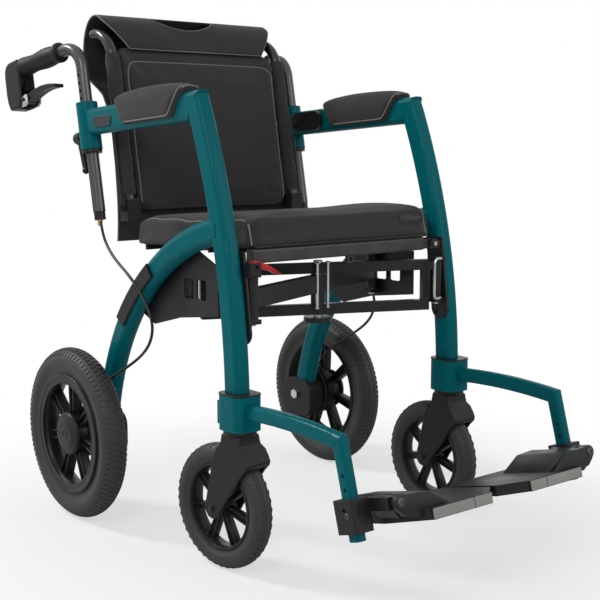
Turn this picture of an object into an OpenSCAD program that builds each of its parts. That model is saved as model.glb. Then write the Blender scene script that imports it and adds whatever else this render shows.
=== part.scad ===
// Rollator that doubles as a transport chair, with its backrest and footrests fitted.
// The sitter faces -Y, so left is +X and right is -X. The floor is Z = 0.

/* [Side frames] */
// Distance between the centre planes of the two side frames
frame_w = 460; // [440:1:480]
// Width of the leg, arm and arch tubes across the chair
tube_w = 28; // [26:1:30]
// Depth of the curved front leg
leg_d = 38; // [34:1:42]
// Height of the arm tube
arm_h = 46; // [42:1:48]
// Depth of the rear arch tube
arch_d = 42; // [38:1:44]
// Radius of the front leg's long bend
leg_r = 1203; // [1150:1:1260]
// Radius of the rear arch
arch_r = 438; // [434:1:442]
// Downward slope of the arm towards the rear, in degrees
arm_slope = 3.6; // [3:0.1:4.2]

/* [Wheels] */
// Outer diameter of the rear tyre
rear_d = 304; // [298:1:308]
// Width of the rear tyre
rear_w = 48; // [44:1:48]
// Outer diameter of the front tyre
caster_d = 200; // [196:1:202]
// Width of the front tyre
caster_w = 36; // [32:1:37]
// Distance of the front wheel's axle behind its swivel
trail = 38; // [34:1:42]
// Number of spokes in each wheel
spokes = 6; // [5:1:7]
// How far the right front wheel stands turned outwards, in degrees
right_caster_turn = 7; // [0:1:12]

/* [Handles] */
// Lean of the handle stem and the backrest, in degrees
lean = 11; // [10:0.5:12]
// Diameter of the handle tube
stem_d = 22; // [20:1:22]
// Outward turn of the hand grip, in degrees
grip_turn = 8; // [4:1:12]
// Length of the hand grip with its brake housing
grip_l = 160; // [150:1:170]
// Radius of the bend between stem and grip
grip_bend = 42; // [38:1:44]
// Pitch of the height holes
hole_pitch = 14; // [12:1:16]

/* [Seat and backrest] */
// Width of the seat cushion
seat_w = 424; // [410:1:426]
// Depth of the seat cushion
seat_l = 350; // [330:1:352]
// Height of the cushion's lower face above the floor
seat_z = 506.5; // [506.5:0.5:508]
// Thickness of the cushion at its edge
cushion_h = 46; // [36:1:48]
// Crown of the cushion above its edge
crown = 4; // [2:1:8]
// Backward slope of the seat, in degrees
seat_tilt = 2.7; // [1.5:0.1:3]
// Distance between the backrest posts
post_w = 370; // [364:1:372]
// Diameter of the backrest tube
post_d = 19; // [17:1:19]

/* [Footrests] */
// Length of the footrest's level tube, from the swivel to its elbow
foot_reach = 234; // [225:1:240]
// Rise of the level tube in the middle of its length
foot_bow = 6; // [4:0.5:7]
// Forward lean of the footrest's lower tube, in degrees
foot_lean = 16; // [14:0.5:17]
// Upward tilt of the footplate's front edge, in degrees
plate_tilt = 14; // [12:0.5:15]
// Depth of the footplate
plate_l = 140; // [130:1:145]

/* [Hidden] */
$fn = 64;
// Clearance of a turning or sliding fit, on the radius
fit = 0.05;
// Clearance between pieces that pass each other
gap = 0.4;
// Shift that brings the middle of the chair's length to Y = 0
middle_y = 18;
side_x = frame_w / 2;
inner_x = side_x - tube_w / 2;
outer_x = side_x + tube_w / 2;
// Rear wheels
axle_y = 217;
rear_r = rear_d / 2;
rear_rim_r = 106;
wheel_x = 291;
axle_r = 6;
drum_r = 46;
// Front wheels and the sockets that carry them
stem_y = -195;
caster_r = caster_d / 2;
caster_rim_r = 70;
socket_w = 52;
socket_l = 57;
socket_z = [229, 284];
swivel_r = 8;
fork_in = caster_w / 2 + 3;
fork_t = 5;
fork_top = 222;
// Front leg: centre of its long bend and the elbow at its top
leg_cy = stem_y + 6 + leg_r;
leg_cz = 250;
elbow_z = 721;
leg_lean = asin((elbow_z - leg_cz) / leg_r);
elbow_y = leg_cy - leg_r * cos(leg_lean);
mitre = 90 - (arm_slope + 90 + leg_lean) / 2;
seal_t = 2;
// Rear arch: centre and the angles at which it starts and ends
arch_cy = -226;
arch_cz = 101;
arch_from = 10;
arch_to = 80.5;
block_y = 215;
block_z = 146;
block_x = [inner_x - 4, outer_x + 4];
plate_x = [outer_x + 6, outer_x + 11];
arm_pin = [226, 176];
cover_from = 36;
cover_to = 54;
// Handle: middle of the clamp, on the stem's axis
stem_x = 232;
clamp_y = 250;
clamp_z = 692;
clamp_r = 19;
clamp_h = 84;
bush_r = 14;
plug_z = -167;
plug_h = 14;
bend_z = 105;
grip_z = bend_z + grip_bend;
grip_y = grip_bend + 15;
grip_r = 17;
housing_y = grip_y + grip_l - 44;
housing_w = 36;
lever_pivot = [housing_y - 4, 84];
lever_l = 94;
lever_w = 20;
lever_pin_r = 4;
clamp_lever_z = -14;
clamp_lever_y = 30;
// Seat: height of its pivot at the left side and of its frame
pivot_x = 197;
pivot_z = 490;
pin_r = 4;
knuckle_r = 9;
bar_y = -169;
bar_d = 18;
bar_z = [479, 502];
rear_lug_y = -43;
pan_t = 4;
latch_z = 477;
seat_y = -187;
// Folding brace under the seat
post_x = 200;
front_post_y = -187;
rear_post_y = -23;
brace_pin_r = 6;
barrel_r = 10;
brace_z = [413, 443];
rail_h = 18;
rail_z = [375, 445];
barrel_z = [396, 460];
centre_y = (front_post_y + rear_post_y) / 2;
centre_r = 8;
brace_turn = atan2(rear_post_y - front_post_y, 2 * post_x);
brace_l = norm([2 * post_x, rear_post_y - front_post_y]);
// Backrest: foot of each post
post_x0 = post_w / 2;
post_y = 193;
post_z = 547;
post_l = 268;
post_bend = 60;
post_r = post_d / 2;
hood = [302, 827];
hood_r = [45, 66];
hood_t = 5;
hood_w = 376;
// Footrest
foot_y = stem_y - foot_reach;
foot_z = 257;
foot_w = 17;
foot_d = 23;
foot_drop = 137;
foot_r = (foot_reach * foot_reach / 4 + foot_bow * foot_bow) / (2 * foot_bow);
foot_fall = asin(foot_reach / 2 / foot_r);
foot_mitre = 90 - (90 + foot_lean - foot_fall) / 2;
foot_clamp_z = -102;
hinge_x = 203;
hinge_y = -480;
hinge_z = 178;
hinge_r = 9;
plate_t = 16;
plate_top = -16;
plate_front = -52;
lug_y = 22;
lug_t = 9;
// Brake cable: diameter and the points that it runs through on the left side
cable_d = 5;
cable_route = [
    [232, 217, 527], [233, 211, 507], [237, 188, 484], [243, 154, 466], [247, 120, 452], [249, 97, 442],
    [249, 75, 428], [249, 53, 411], [249, 36, 392], [249, 25, 374], [249, 22, 355], [250, 30, 333],
    [251, 50, 313], [252, 80, 294], [254, 113, 276], [257, 147, 257], [260, 175, 240], [261, 194, 224],
    [261, 203, 208]
];

frame_teal = "#0a5a5c";
black = "#26272a";
fabric = "#333338";
grey = "#8f9092";
steel = "#b9bcc0";
red = "#c01420";

// Sets a piece so that the middle of the whole chair is at Y = 0
module placed() {
    translate([0, middle_y, 0]) children();
}

// The same piece on the left (+1) or on the right (-1)
module on_side(side) {
    mirror([side < 0 ? 1 : 0, 0, 0]) children();
}

module both_sides() {
    for (side = [1, -1]) on_side(side) children();
}

// Rectangle with round corners
module rounded(a, b, r) {
    square([a - 2 * r, b], center = true);
    square([a, b - 2 * r], center = true);
    for (i = [-1, 1], j = [-1, 1]) translate([i * (a / 2 - r), j * (b / 2 - r)]) circle(r, $fn = 48);
}

// Sweeps an outline about an axis along X. Angles run from +Y up to +Z.
module sweep_about_x(cy, cz, r, from, to, n = 64) {
    translate([0, cy, cz]) rotate([0, 90, 0]) rotate([0, 0, 90 + from])
        rotate_extrude(angle = to - from, $fn = n) translate([r, 0]) children();
}

// Solid of an outline drawn in Y and Z, between two places along X
module across(x0, x1) {
    translate([x0, 0, 0]) rotate([90, 0, 90]) linear_extrude(x1 - x0) children();
}

// Round bar along X, and along Y
module bar_x(x0, x1, r) {
    translate([x0, 0, 0]) rotate([0, 90, 0]) cylinder(r = r, h = x1 - x0);
}

module bar_y(y0, y1, r) {
    translate([0, y0, 0]) rotate([-90, 0, 0]) cylinder(r = r, h = y1 - y0);
}

// Ring of an outline about an axis along X
module wheel_ring() {
    rotate([0, 90, 0]) rotate_extrude() children();
}

// Half space behind a mitre plane through the origin
module mitre_side(angle) {
    rotate([angle, 0, 0]) translate([-60, 0, -400]) cube([120, 800, 800]);
}

// Smooth tube through hand-set points, as rings that follow the curve
function curve_at(p, i, t) =
    let (n = len(p) - 1, a = p[max(i - 1, 0)], b = p[i], c = p[min(i + 1, n)], d = p[min(i + 2, n)])
    0.5 * (2 * b + (c - a) * t + (2 * a - 5 * b + 4 * c - d) * t * t + (3 * b - a - 3 * c + d) * t * t * t);
function curve(p, steps) = [
    for (i = [0 : len(p) - 2], k = [0 : steps - 1]) curve_at(p, i, k / steps), p[len(p) - 1]
];
function unit(v) = v / norm(v);
module tube_through(p, d, sides) {
    m = len(p);
    rings = [for (i = [0 : m - 1]) let (
        t = unit(p[min(i + 1, m - 1)] - p[max(i - 1, 0)]),
        u = unit(cross(t, [1, 0.2, 0.1])),
        v = cross(t, u)
    ) for (k = [0 : sides - 1]) p[i] + d / 2 * (u * cos(360 * k / sides) + v * sin(360 * k / sides))];
    walls = [for (i = [0 : m - 2], k = [0 : sides - 1]) let (
        a = i * sides + k, b = i * sides + (k + 1) % sides
    ) each [[a, b, b + sides], [a, b + sides, a + sides]]];
    ends = [for (k = [1 : sides - 2]) each [
        [0, k + 1, k], [(m - 1) * sides, (m - 1) * sides + k, (m - 1) * sides + k + 1]
    ]];
    polyhedron(points = rings, faces = concat(walls, ends));
}

// Stuffed pad with drawn-in sides. Each row of profile is [share of the outline, height].
function corner_power(v, e) = sign(v) * pow(abs(v), e);
module stuffed(w, l, profile, pull, n) {
    m = len(profile);
    function outline(a) = let (
        x = corner_power(cos(a), 0.22), y = corner_power(sin(a), 0.22)
    ) [x * (w / 2 - pull * pow(cos(90 * y), 2)), y * (l / 2 - pull * pow(cos(90 * x), 2))];
    points = concat(
        [for (row = profile, k = [0 : n - 1])
            let (q = outline(360 * k / n)) [q.x * row[0], q.y * row[0], row[1]]],
        [[0, 0, profile[0][1]], [0, 0, profile[m - 1][1]]]
    );
    walls = [for (i = [0 : m - 2], k = [0 : n - 1]) let (
        a = i * n + k, b = i * n + (k + 1) % n
    ) each [[a, b + n, b], [a, a + n, b + n]]];
    ends = [for (k = [0 : n - 1]) let (b = (k + 1) % n) each [
        [m * n, k, b], [m * n + 1, (m - 1) * n + b, (m - 1) * n + k]
    ]];
    polyhedron(points = points, faces = concat(walls, ends));
}

// Long curved front leg, from its seal up to the mitred elbow
module leg_bar() {
    translate([side_x, 0, 0])
        sweep_about_x(leg_cy, leg_cz, leg_r, 180 - leg_lean - 3, 180 - 0.5, 480) rounded(leg_d, tube_w, 9);
}

module front_leg() {
    color(frame_teal) difference() {
        leg_bar();
        translate([side_x, elbow_y, elbow_z]) mitre_side(mitre);
        translate([side_x - 40, stem_y - 60, 0]) cube([80, 120, socket_z[1] + seal_t]);
    }
}

// Arm tube, mitred to the leg and saddled onto the clamp
module arm_tube() {
    color(frame_teal) difference() {
        translate([side_x, elbow_y, elbow_z]) intersection() {
            rotate([-arm_slope, 0, 0]) translate([0, -60, 0]) rotate([-90, 0, 0])
                linear_extrude(clamp_y - elbow_y + 60) rounded(tube_w, arm_h, 10);
            mitre_side(mitre);
        }
        at_stem() translate([0, 0, -clamp_h]) cylinder(r = clamp_r, h = 2 * clamp_h);
    }
}

module arm_tubes() {
    both_sides() arm_tube();
}

// Oval rear arch, from the leg down to the axle
module arch_bar(from, to) {
    translate([side_x, 0, 0]) sweep_about_x(arch_cy, arch_cz, arch_r, from, to, 480)
        rounded(arch_d, tube_w + 2, 14);
}

module rear_arch() {
    color(frame_teal) difference() {
        arch_bar(arch_from, arch_to);
        leg_bar();
    }
}

// Moulded block that closes the arch and carries the axle
module axle_block() {
    color(black) difference() {
        across(block_x[0], block_x[1]) translate([block_y, block_z]) rounded(84, 76, 24);
        arch_bar(arch_from, arch_from + 12);
        translate([0, axle_y, rear_r]) bar_x(block_x[0] - 1, block_x[1] + 1, axle_r + fit);
    }
}

module axle_blocks() {
    both_sides() axle_block();
}

module rear_axles() {
    color(steel) both_sides() translate([0, axle_y, rear_r]) {
        bar_x(block_x[0], wheel_x + 12, axle_r);
        translate([block_x[0], 0, 0]) rotate([0, -90, 0]) cylinder(r = 10, h = 6, $fn = 6);
    }
}

// Fixed back plate of the drum brake, with the stop that ends the cable's sleeve and the arm's pin
module brake_plates() {
    color(black) both_sides() {
        difference() {
            union() {
                translate([0, axle_y, rear_r]) bar_x(plate_x[0], plate_x[1], drum_r + 3);
                translate([0, axle_y, rear_r]) bar_x(block_x[1], plate_x[0], 14);
                across(plate_x[0], plate_x[1])
                    polygon([[194, 176], [210, 196], [210, 206], [196, 206], [188, 182]]);
                translate([plate_x[0], 196, 199]) cube([16, 14, 7]);
                translate([0, arm_pin.x, arm_pin.y]) bar_x(plate_x[0], plate_x[1] + 4, 3);
            }
            translate([0, axle_y, rear_r]) bar_x(block_x[1] - 1, plate_x[1] + 1, axle_r + fit);
        }
    }
}

// Brake arm that the inner wire lifts by its front end
module brake_arm() {
    color(steel) difference() {
        union() {
            across(plate_x[1] + gap, plate_x[1] + 4) {
                polygon([[arm_pin.x, arm_pin.y - 7], [203, 174], [203, 182], [arm_pin.x, arm_pin.y + 7]]);
                translate(arm_pin) circle(7);
                translate([203, 178]) circle(4);
            }
            translate([plate_x[1] + 2, 203, 178]) cylinder(r = 1.2, h = 15);
        }
        translate([0, arm_pin.x, arm_pin.y]) bar_x(plate_x[1], plate_x[1] + 5, 3 + fit);
    }
}

// Long clip on the outside of the arch, with a cross groove for the cable
module cable_covers() {
    color(black) both_sides() difference() {
        translate([outer_x + 4, 0, 0]) sweep_about_x(arch_cy, arch_cz, arch_r, cover_from, cover_to, 480)
            rounded(26, 5, 2);
        translate([outer_x, 64, 420]) rotate([38, 0, 0]) translate([-2, -40, -4]) cube([12, 80, 8]);
    }
    color(black) both_sides() for (a = [cover_from + 2, cover_to - 2])
        translate([0, arch_cy + arch_r * cos(a), arch_cz + arch_r * sin(a)])
            bar_x(outer_x + 1, outer_x + 1.5, 5);
}

module brake_cable() {
    color(black) tube_through(curve(cable_route, 3), cable_d, 8);
}

// Collar at the foot of the leg that takes the swivel and the footrest
module leg_sockets() {
    color(frame_teal) both_sides() translate([side_x, stem_y, 0]) difference() {
        union() {
            translate([0, 0, socket_z[0]]) linear_extrude(socket_z[1] - socket_z[0])
                rounded(socket_w, socket_l, 15);
            translate([-2, socket_l / 2 - 6, socket_z[0] + 6]) cube([20, 12, 36]);
        }
        translate([0, 0, socket_z[0] - 1]) cylinder(r = swivel_r + fit, h = 48);
    }
}

module socket_seals() {
    color(black) both_sides() translate([side_x, stem_y, 0]) {
        translate([0, 0, socket_z[1]]) linear_extrude(seal_t) rounded(socket_w + 1, socket_l + 1, 15);
        translate([0, 0, fork_top + gap]) difference() {
            cylinder(r = socket_w / 2, h = socket_z[0] - fork_top - gap);
            translate([0, 0, -1]) cylinder(r = swivel_r + fit, h = 12);
        }
    }
}

// Tyre with a rounded crown, drawn as half a section from the bead outwards
module tyre(r, bead_r, w) {
    shoulder = w * 0.36;
    wheel_ring() difference() {
        union() {
            translate([r - w / 2, 0]) circle(w / 2);
            translate([bead_r, -shoulder]) square([r - w / 2 - bead_r, 2 * shoulder]);
        }
        square([2 * bead_r, 2 * w], center = true);
    }
}

module rear_tyre() {
    color(black) translate([wheel_x, axle_y, rear_r]) tyre(rear_r, rear_rim_r, rear_w);
}

// Wheel centre: barrel, hub and tapered spokes with a rib
module wheel_centre(rim_r, rim_t, rim_w, hub_r, hub_w, spoke_w) {
    wheel_ring() translate([rim_r - rim_t, -rim_w / 2]) square([rim_t, rim_w]);
    bar_x(-hub_w / 2, hub_w / 2, hub_r);
    for (k = [0 : spokes - 1]) rotate([k * 360 / spokes, 0, 0]) {
        across(-rim_w / 4, rim_w / 4) polygon([
            [-spoke_w * 0.3, hub_r - 8], [spoke_w * 0.3, hub_r - 8],
            [spoke_w * 0.55, rim_r - 5], [-spoke_w * 0.55, rim_r - 5]
        ]);
        across(-rim_w / 2 + 2, rim_w / 2 - 2) translate([0, rim_r / 2])
            square([spoke_w / 4, rim_r - 10], center = true);
    }
}

// Rear wheel centre with its brake drum inside and a domed cap outside
module rear_rim() {
    cap_r = 31;
    color(black) translate([wheel_x, axle_y, rear_r]) difference() {
        union() {
            wheel_centre(rear_rim_r, 17, 38, 34, 28, 30);
            bar_x(plate_x[1] + 5 - wheel_x, -8, drum_r);
            translate([12, 0, 0]) rotate([0, 90, 0]) cylinder(r1 = cap_r, r2 = cap_r - 3, h = 8);
            translate([19, 0, 0]) rotate([0, 90, 0]) cylinder(r1 = cap_r - 3, r2 = cap_r - 15, h = 5);
        }
        bar_x(-60, 13, axle_r + fit);
    }
}

// Everything that turns on the swivel is drawn about the swivel's own axis
module at_swivel(side) {
    on_side(side) translate([side_x, stem_y, 0])
        rotate([0, 0, side < 0 ? -right_caster_turn : 0]) children();
}

module caster_fork() {
    outer = fork_in + fork_t;
    plate = [[-outer, -fork_in], [fork_in, outer]];
    color(black) difference() {
        union() {
            translate([-20, -21, fork_top - 24]) cube([40, 42, 24]);
            translate([0, trail, caster_r]) intersection() {
                wheel_ring() translate([caster_r + 4, -outer]) square([9, 2 * outer]);
                across(-50, 50) polygon([[-78, 50], [-78, 140], [6, 140], [6, 50]]);
            }
            for (x = plate) {
                across(x[0], x[1]) polygon([
                    [-34, fork_top - 52], [-40, fork_top - 24], [-24, fork_top - 10], [24, fork_top - 10],
                    [34, fork_top - 32], [trail + 15, caster_r + 4], [trail - 14, caster_r - 6]
                ]);
                translate([0, trail, caster_r]) bar_x(x[0], x[1], 16);
            }
            translate([0, 0, fork_top - 1]) cylinder(r = swivel_r, h = 54);
        }
        translate([0, trail, caster_r]) bar_x(-fork_in, fork_in, caster_r + 4);
    }
    color(steel) translate([0, trail, caster_r]) {
        bar_x(-fork_in, fork_in, axle_r);
        for (x = [-outer - 4, outer]) bar_x(x, x + 4, 8);
    }
}

module caster_tyre() {
    color(black) translate([0, trail, caster_r]) tyre(caster_r, caster_rim_r, caster_w);
}

module caster_rim() {
    color(black) translate([0, trail, caster_r]) difference() {
        wheel_centre(caster_rim_r, 9, 28, 17, 34, 18);
        bar_x(-40, 40, axle_r + fit);
    }
}

// Handle: a frame whose Z axis is the stem's axis
module at_stem() {
    translate([stem_x, clamp_y, clamp_z]) rotate([-lean, 0, 0]) children();
}

module handle_clamp() {
    color(frame_teal) at_stem() difference() {
        union() {
            translate([0, 0, -clamp_h / 2]) cylinder(r = clamp_r, h = clamp_h);
            translate([0, 0, clamp_lever_z]) bar_y(10, clamp_lever_y - 4, 9);
            translate([-2, 10, clamp_lever_z - 20]) cube([4, 13, 40]);
        }
        translate([0, 0, -clamp_h]) cylinder(r = bush_r + fit, h = 2 * clamp_h);
        translate([0, 0, clamp_lever_z]) bar_y(16, clamp_lever_y, 3 + fit);
    }
}

module handle_clamps() {
    both_sides() handle_clamp();
}

// Plastic liner that the handle tube slides and turns in
module clamp_bushes() {
    color(black) both_sides() at_stem() difference() {
        union() {
            translate([0, 0, -clamp_h / 2 - 3]) cylinder(r = bush_r, h = clamp_h + 4);
            translate([0, 0, -clamp_h / 2 - 6]) cylinder(r = clamp_r - 1, h = 6 - gap / 8);
        }
        translate([0, 0, -clamp_h]) cylinder(r = stem_d / 2 + fit, h = 2 * clamp_h);
    }
}

module clamp_lever() {
    color(black) at_stem() translate([0, 0, clamp_lever_z]) {
        bar_y(16.5, clamp_lever_y, 3);
        bar_y(clamp_lever_y - 4 + gap, clamp_lever_y + 15, 11);
        translate([0, clamp_lever_y + 7, 0]) rotate([174, 0, 0]) cylinder(r1 = 6.5, r2 = 5, h = 60);
        translate([0, clamp_lever_y + 7, 0]) rotate([174, 0, 0]) translate([0, 0, 60]) sphere(r = 6.4);
    }
}

module cable_plug() {
    color(black) at_stem() translate([0, 0, plug_z]) {
        cylinder(r = stem_d / 2 - 1, h = plug_h);
        translate([0, 0, plug_h]) cylinder(r = 5, h = 12);
    }
}

// Everything that turns with the grip
module at_grip() {
    at_stem() rotate([0, 0, -grip_turn]) children();
}

module handle_tube() {
    r = stem_d / 2;
    color(grey) at_grip() difference() {
        union() {
            translate([0, 0, plug_z + plug_h + gap]) cylinder(r = r, h = bend_z - plug_z - plug_h - gap);
            sweep_about_x(grip_bend, bend_z, grip_bend, 90, 180) circle(r);
            translate([0, 0, grip_z]) bar_y(grip_bend, grip_y + 60, r);
        }
        translate([0, 0, plug_z]) cylinder(r = 5 + fit, h = plug_h + 14);
        for (k = [0 : 9]) translate([0, 0, bend_z - 14 - k * hole_pitch]) bar_x(r - 4, r + 3, 3);
    }
}

// Soft grip with a front flange, and the brake housing that hangs from its rear end
module hand_grip() {
    end_y = grip_y + grip_l;
    color(black) at_grip() difference() {
        union() {
            translate([0, grip_y, grip_z]) rotate([-90, 0, 0]) rotate_extrude() polygon([
                [0, 0], [19, 0], [20, 4], [grip_r, 12], [grip_r - 1, 34], [grip_r + 1, 66],
                [grip_r - 1, 96], [grip_r, 118], [0, 118]
            ]);
            across(-housing_w / 2, housing_w / 2) polygon([
                [housing_y, grip_z + 14], [end_y - 12, grip_z + 12], [end_y, grip_z], [end_y + 2, 100],
                [end_y - 6, 64], [housing_y + 6, 64], [housing_y, 90]
            ]);
        }
        translate([0, 0, grip_z]) bar_y(0, grip_y + 60.5, stem_d / 2 + fit);
        translate([0, lever_pivot.x, lever_pivot.y]) bar_x(-30, 30, lever_pin_r + fit);
        across(-lever_w / 2 - gap, lever_w / 2 + gap) translate([lever_pivot.x + 4, lever_pivot.y])
            square([26, 34], center = true);
    }
    color(steel) at_grip() for (s = [-1, 1]) difference() {
        across(s * (lever_w / 2 + 4) - 1.5, s * (lever_w / 2 + 4) + 1.5) polygon([
            [housing_y, 90], [housing_y - 14, 92], [housing_y - 16, 74], [housing_y - 8, 66],
            [housing_y + 5.6, 66]
        ]);
        translate([0, lever_pivot.x, lever_pivot.y]) bar_x(-30, 30, lever_pin_r + fit);
    }
}

// Curved brake lever under the grip, with its pin
module brake_lever() {
    color(black) at_grip() translate([0, lever_pivot.x, lever_pivot.y]) {
        bar_x(-housing_w / 2, housing_w / 2, lever_pin_r);
        across(-lever_w / 2, lever_w / 2) {
            circle(8);
            polygon(concat(
                [for (t = [0 : 0.125 : 1]) [-lever_l * t, 7 - 2 * t + 9 * sin(150 * t)]],
                [for (t = [1 : -0.125 : 0]) [-lever_l * t, -7 + 6 * t + 9 * sin(150 * t)]]
            ));
        }
    }
}

// Padded sleeve over the arm, with slanted ends and an open underside
module arm_pad() {
    color(fabric) translate([side_x, elbow_y, elbow_z]) rotate([-arm_slope, 0, 0]) difference() {
        across(-24, 24) polygon([[14, 24], [36, 36], [212, 36], [236, 24], [206, -18], [52, -18]]);
        translate([0, -1, 0]) rotate([-90, 0, 0]) linear_extrude(260)
            rounded(tube_w + gap, arm_h + gap, 10);
        translate([-tube_w / 2 + 2, 0, -60]) cube([tube_w - 4, 260, 50]);
        for (s = [-1, 1]) translate([s * 26, -1, 38]) rotate([0, s * 32, 0])
            translate([-14, 0, -9]) cube([28, 260, 22]);
    }
}

// Inner bracket of the leg: carries the front brace post
module leg_bracket() {
    difference() {
        union() {
            across(inner_x - 4, inner_x) {
                polygon([[-204, 376], [-166, 376], [-150, 500], [-188, 500]]);
                translate([-185, 376]) circle(19);
            }
            for (z = [barrel_z[0] - 8, barrel_z[1] + gap]) translate([post_x - 11, front_post_y - 10, z])
                cube([inner_x - post_x + 9, 20, 7]);
        }
        translate([post_x, front_post_y, 0]) cylinder(r = brace_pin_r + fit, h = 600);
        translate([0, -179, 368]) bar_x(0, 300, 4);
    }
}

// Left ears take the seat's pivot; the right side has a ledge and the latch's lugs
module leg_brackets() {
    color(black) {
        both_sides() leg_bracket();
        difference() {
            for (y = [bar_y - bar_d / 2 - gap - 8, bar_y + bar_d / 2 + gap]) {
                translate([0, y, pivot_z]) translate([pivot_x, 0, 0]) bar_y(0, 8, knuckle_r);
                translate([pivot_x, y, pivot_z - knuckle_r])
                    cube([inner_x - pivot_x, 8, 2 * knuckle_r - 4]);
            }
            translate([pivot_x, 0, pivot_z]) bar_y(-300, 0, pin_r + fit);
        }
        difference() {
            union() {
                translate([-inner_x, bar_y - 10, bar_z[0] - 6 - gap]) cube([34, 22, 6]);
                for (y = [-206, -180]) translate([-inner_x, y, 464]) cube([20, 5, 20]);
                translate([-inner_x, -206, 464]) cube([4, 31, 20]);
            }
            translate([-204, 0, latch_z]) bar_y(-300, 0, 3 + fit);
        }
    }
}

// Gusset on the inside of the arch: carries the rear brace post
module arch_bracket() {
    difference() {
        union() {
            across(inner_x - 4.8, inner_x - 1) difference() {
                polygon([
                    [-118, 470], [-118, 392], [-8, 378], [70, 358],
                    [104, 372], [60, 430], [0, 480], [-64, 492]
                ]);
                for (y = [-72, -35.5]) translate([y, 429.5]) rounded(27, 33, 4);
            }
            for (z = [barrel_z[0] - 8, barrel_z[1] + gap]) translate([post_x - 11, rear_post_y - 10, z])
                cube([inner_x - post_x + 8, 20, 7]);
        }
        translate([post_x, rear_post_y, 0]) cylinder(r = brace_pin_r + fit, h = 600);
    }
}

module arch_brackets() {
    color(black) {
        both_sides() arch_bracket();
        difference() {
            for (y = [rear_lug_y - bar_d / 2 - gap - 8, rear_lug_y + bar_d / 2 + gap]) {
                translate([pivot_x, y, pivot_z]) bar_y(0, 8, knuckle_r);
                translate([pivot_x, y, pivot_z - knuckle_r])
                    cube([inner_x - 1 - pivot_x, 8, 2 * knuckle_r - 4]);
            }
            translate([pivot_x, 0, pivot_z]) bar_y(-100, 60, pin_r + fit);
        }
    }
}

// Scissor brace under the seat. Each arm is drawn along its own length.
module along_brace(turn) {
    translate([0, centre_y, 0]) rotate([0, 0, turn]) children();
}

module brace_barrels(z0, z1) {
    for (s = [-1, 1]) translate([s * brace_l / 2, 0, z0]) cylinder(r = barrel_r, h = z1 - z0);
}

module brace_bores() {
    for (s = [-1, 1]) translate([s * brace_l / 2, 0, 0]) cylinder(r = brace_pin_r + fit, h = 600);
    cylinder(r = centre_r + fit, h = 600);
}

module brace_arm() {
    color(black) along_brace(brace_turn) difference() {
        union() {
            translate([0, 0, brace_z[0]]) linear_extrude(brace_z[1] - brace_z[0])
                square([brace_l, 16], center = true);
            brace_barrels(barrel_z[0], barrel_z[1]);
            translate([0, 0, rail_z[0] + rail_h + 1])
                cylinder(r = 12, h = rail_z[1] - rail_z[0] - rail_h - 2);
        }
        brace_bores();
    }
}

module brace_rails() {
    color(black) along_brace(-brace_turn) difference() {
        union() {
            for (z = rail_z) {
                translate([0, 0, z]) linear_extrude(rail_h) square([brace_l, 14], center = true);
                translate([0, 0, z]) cylinder(r = 12, h = rail_h);
            }
            brace_barrels(barrel_z[0], barrel_z[1]);
            for (s = [-1, 1]) translate([s * (brace_l / 2 - 20), 0, rail_z[0]])
                linear_extrude(rail_z[1] + rail_h - rail_z[0]) square([14, 14], center = true);
        }
        brace_bores();
        for (s = [-1, 1]) translate([s * brace_l / 2, 0, 0]) {
            cylinder(r = barrel_r + 6, h = barrel_z[0]);
            translate([0, 0, barrel_z[1]]) cylinder(r = barrel_r + 6, h = 40);
        }
    }
    color(black) translate([0, centre_y, rail_z[0] - 12]) cylinder(r = 24, h = 8);
}

// Pins of the brace's four corners and of its middle
module brace_pins() {
    color(steel) {
        both_sides() for (y = [front_post_y, rear_post_y]) translate([post_x, y, barrel_z[0] - 11])
            cylinder(r = brace_pin_r, h = barrel_z[1] - barrel_z[0] + 18);
        translate([0, centre_y, rail_z[0] - 4])
            cylinder(r = centre_r, h = rail_z[1] + rail_h - rail_z[0] + 8);
    }
}

// Seat frame: front bar, moulded pan and cushion, all pivoting at the left side
module seat_eye(y) {
    translate([pivot_x, y - bar_d / 2, pivot_z]) bar_y(0, bar_d, knuckle_r);
    translate([pivot_x - 22, y - bar_d / 2, pivot_z - knuckle_r]) cube([22, bar_d, knuckle_r + 7]);
}

// Everything behind the bar slopes back about the bar's top
module sloped() {
    translate([0, bar_y, bar_z[1]]) rotate([-seat_tilt, 0, 0]) translate([0, -bar_y, -bar_z[1]]) children();
}

module seat_bar() {
    color(grey) difference() {
        union() {
            translate([-190, bar_y, (bar_z[0] + bar_z[1]) / 2 - 0.2]) rotate([90, 0, 90])
                linear_extrude(pivot_x - 18 + 190) rounded(bar_d, bar_z[1] - bar_z[0] - 0.4, 4);
            seat_eye(bar_y);
            translate([8, bar_y - 3, bar_z[0] - 12]) cube([14, 6, 16]);
        }
        translate([pivot_x, 0, pivot_z]) bar_y(-300, 0, pin_r + fit);
        translate([15, 0, bar_z[0] - 6]) bar_y(-300, 0, 3.5);
    }
}

module seat_pan() {
    color(black) difference() {
        union() {
            sloped() translate([-186, bar_y - 9, bar_z[1]]) cube([372, seat_l - 24, pan_t]);
            sloped() for (y = [-100, rear_lug_y, 20, 90, 150])
                translate([-180, y - 3, bar_z[1] - 10]) cube([360, 6, 12]);
            seat_eye(rear_lug_y);
        }
        translate([pivot_x, 0, pivot_z]) bar_y(-100, 60, pin_r + fit);
    }
}

module seat_pivot_pins() {
    color(steel) for (y = [bar_y, rear_lug_y])
        translate([pivot_x, y - bar_d / 2 - 11, pivot_z]) bar_y(0, bar_d + 22, pin_r);
}

cushion_profile = [
    [0.955, 0], [0.985, 0.08], [1, 0.25], [1, 0.55], [0.992, 0.78], [0.965, 0.94], [0.93, 1]
];

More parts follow.
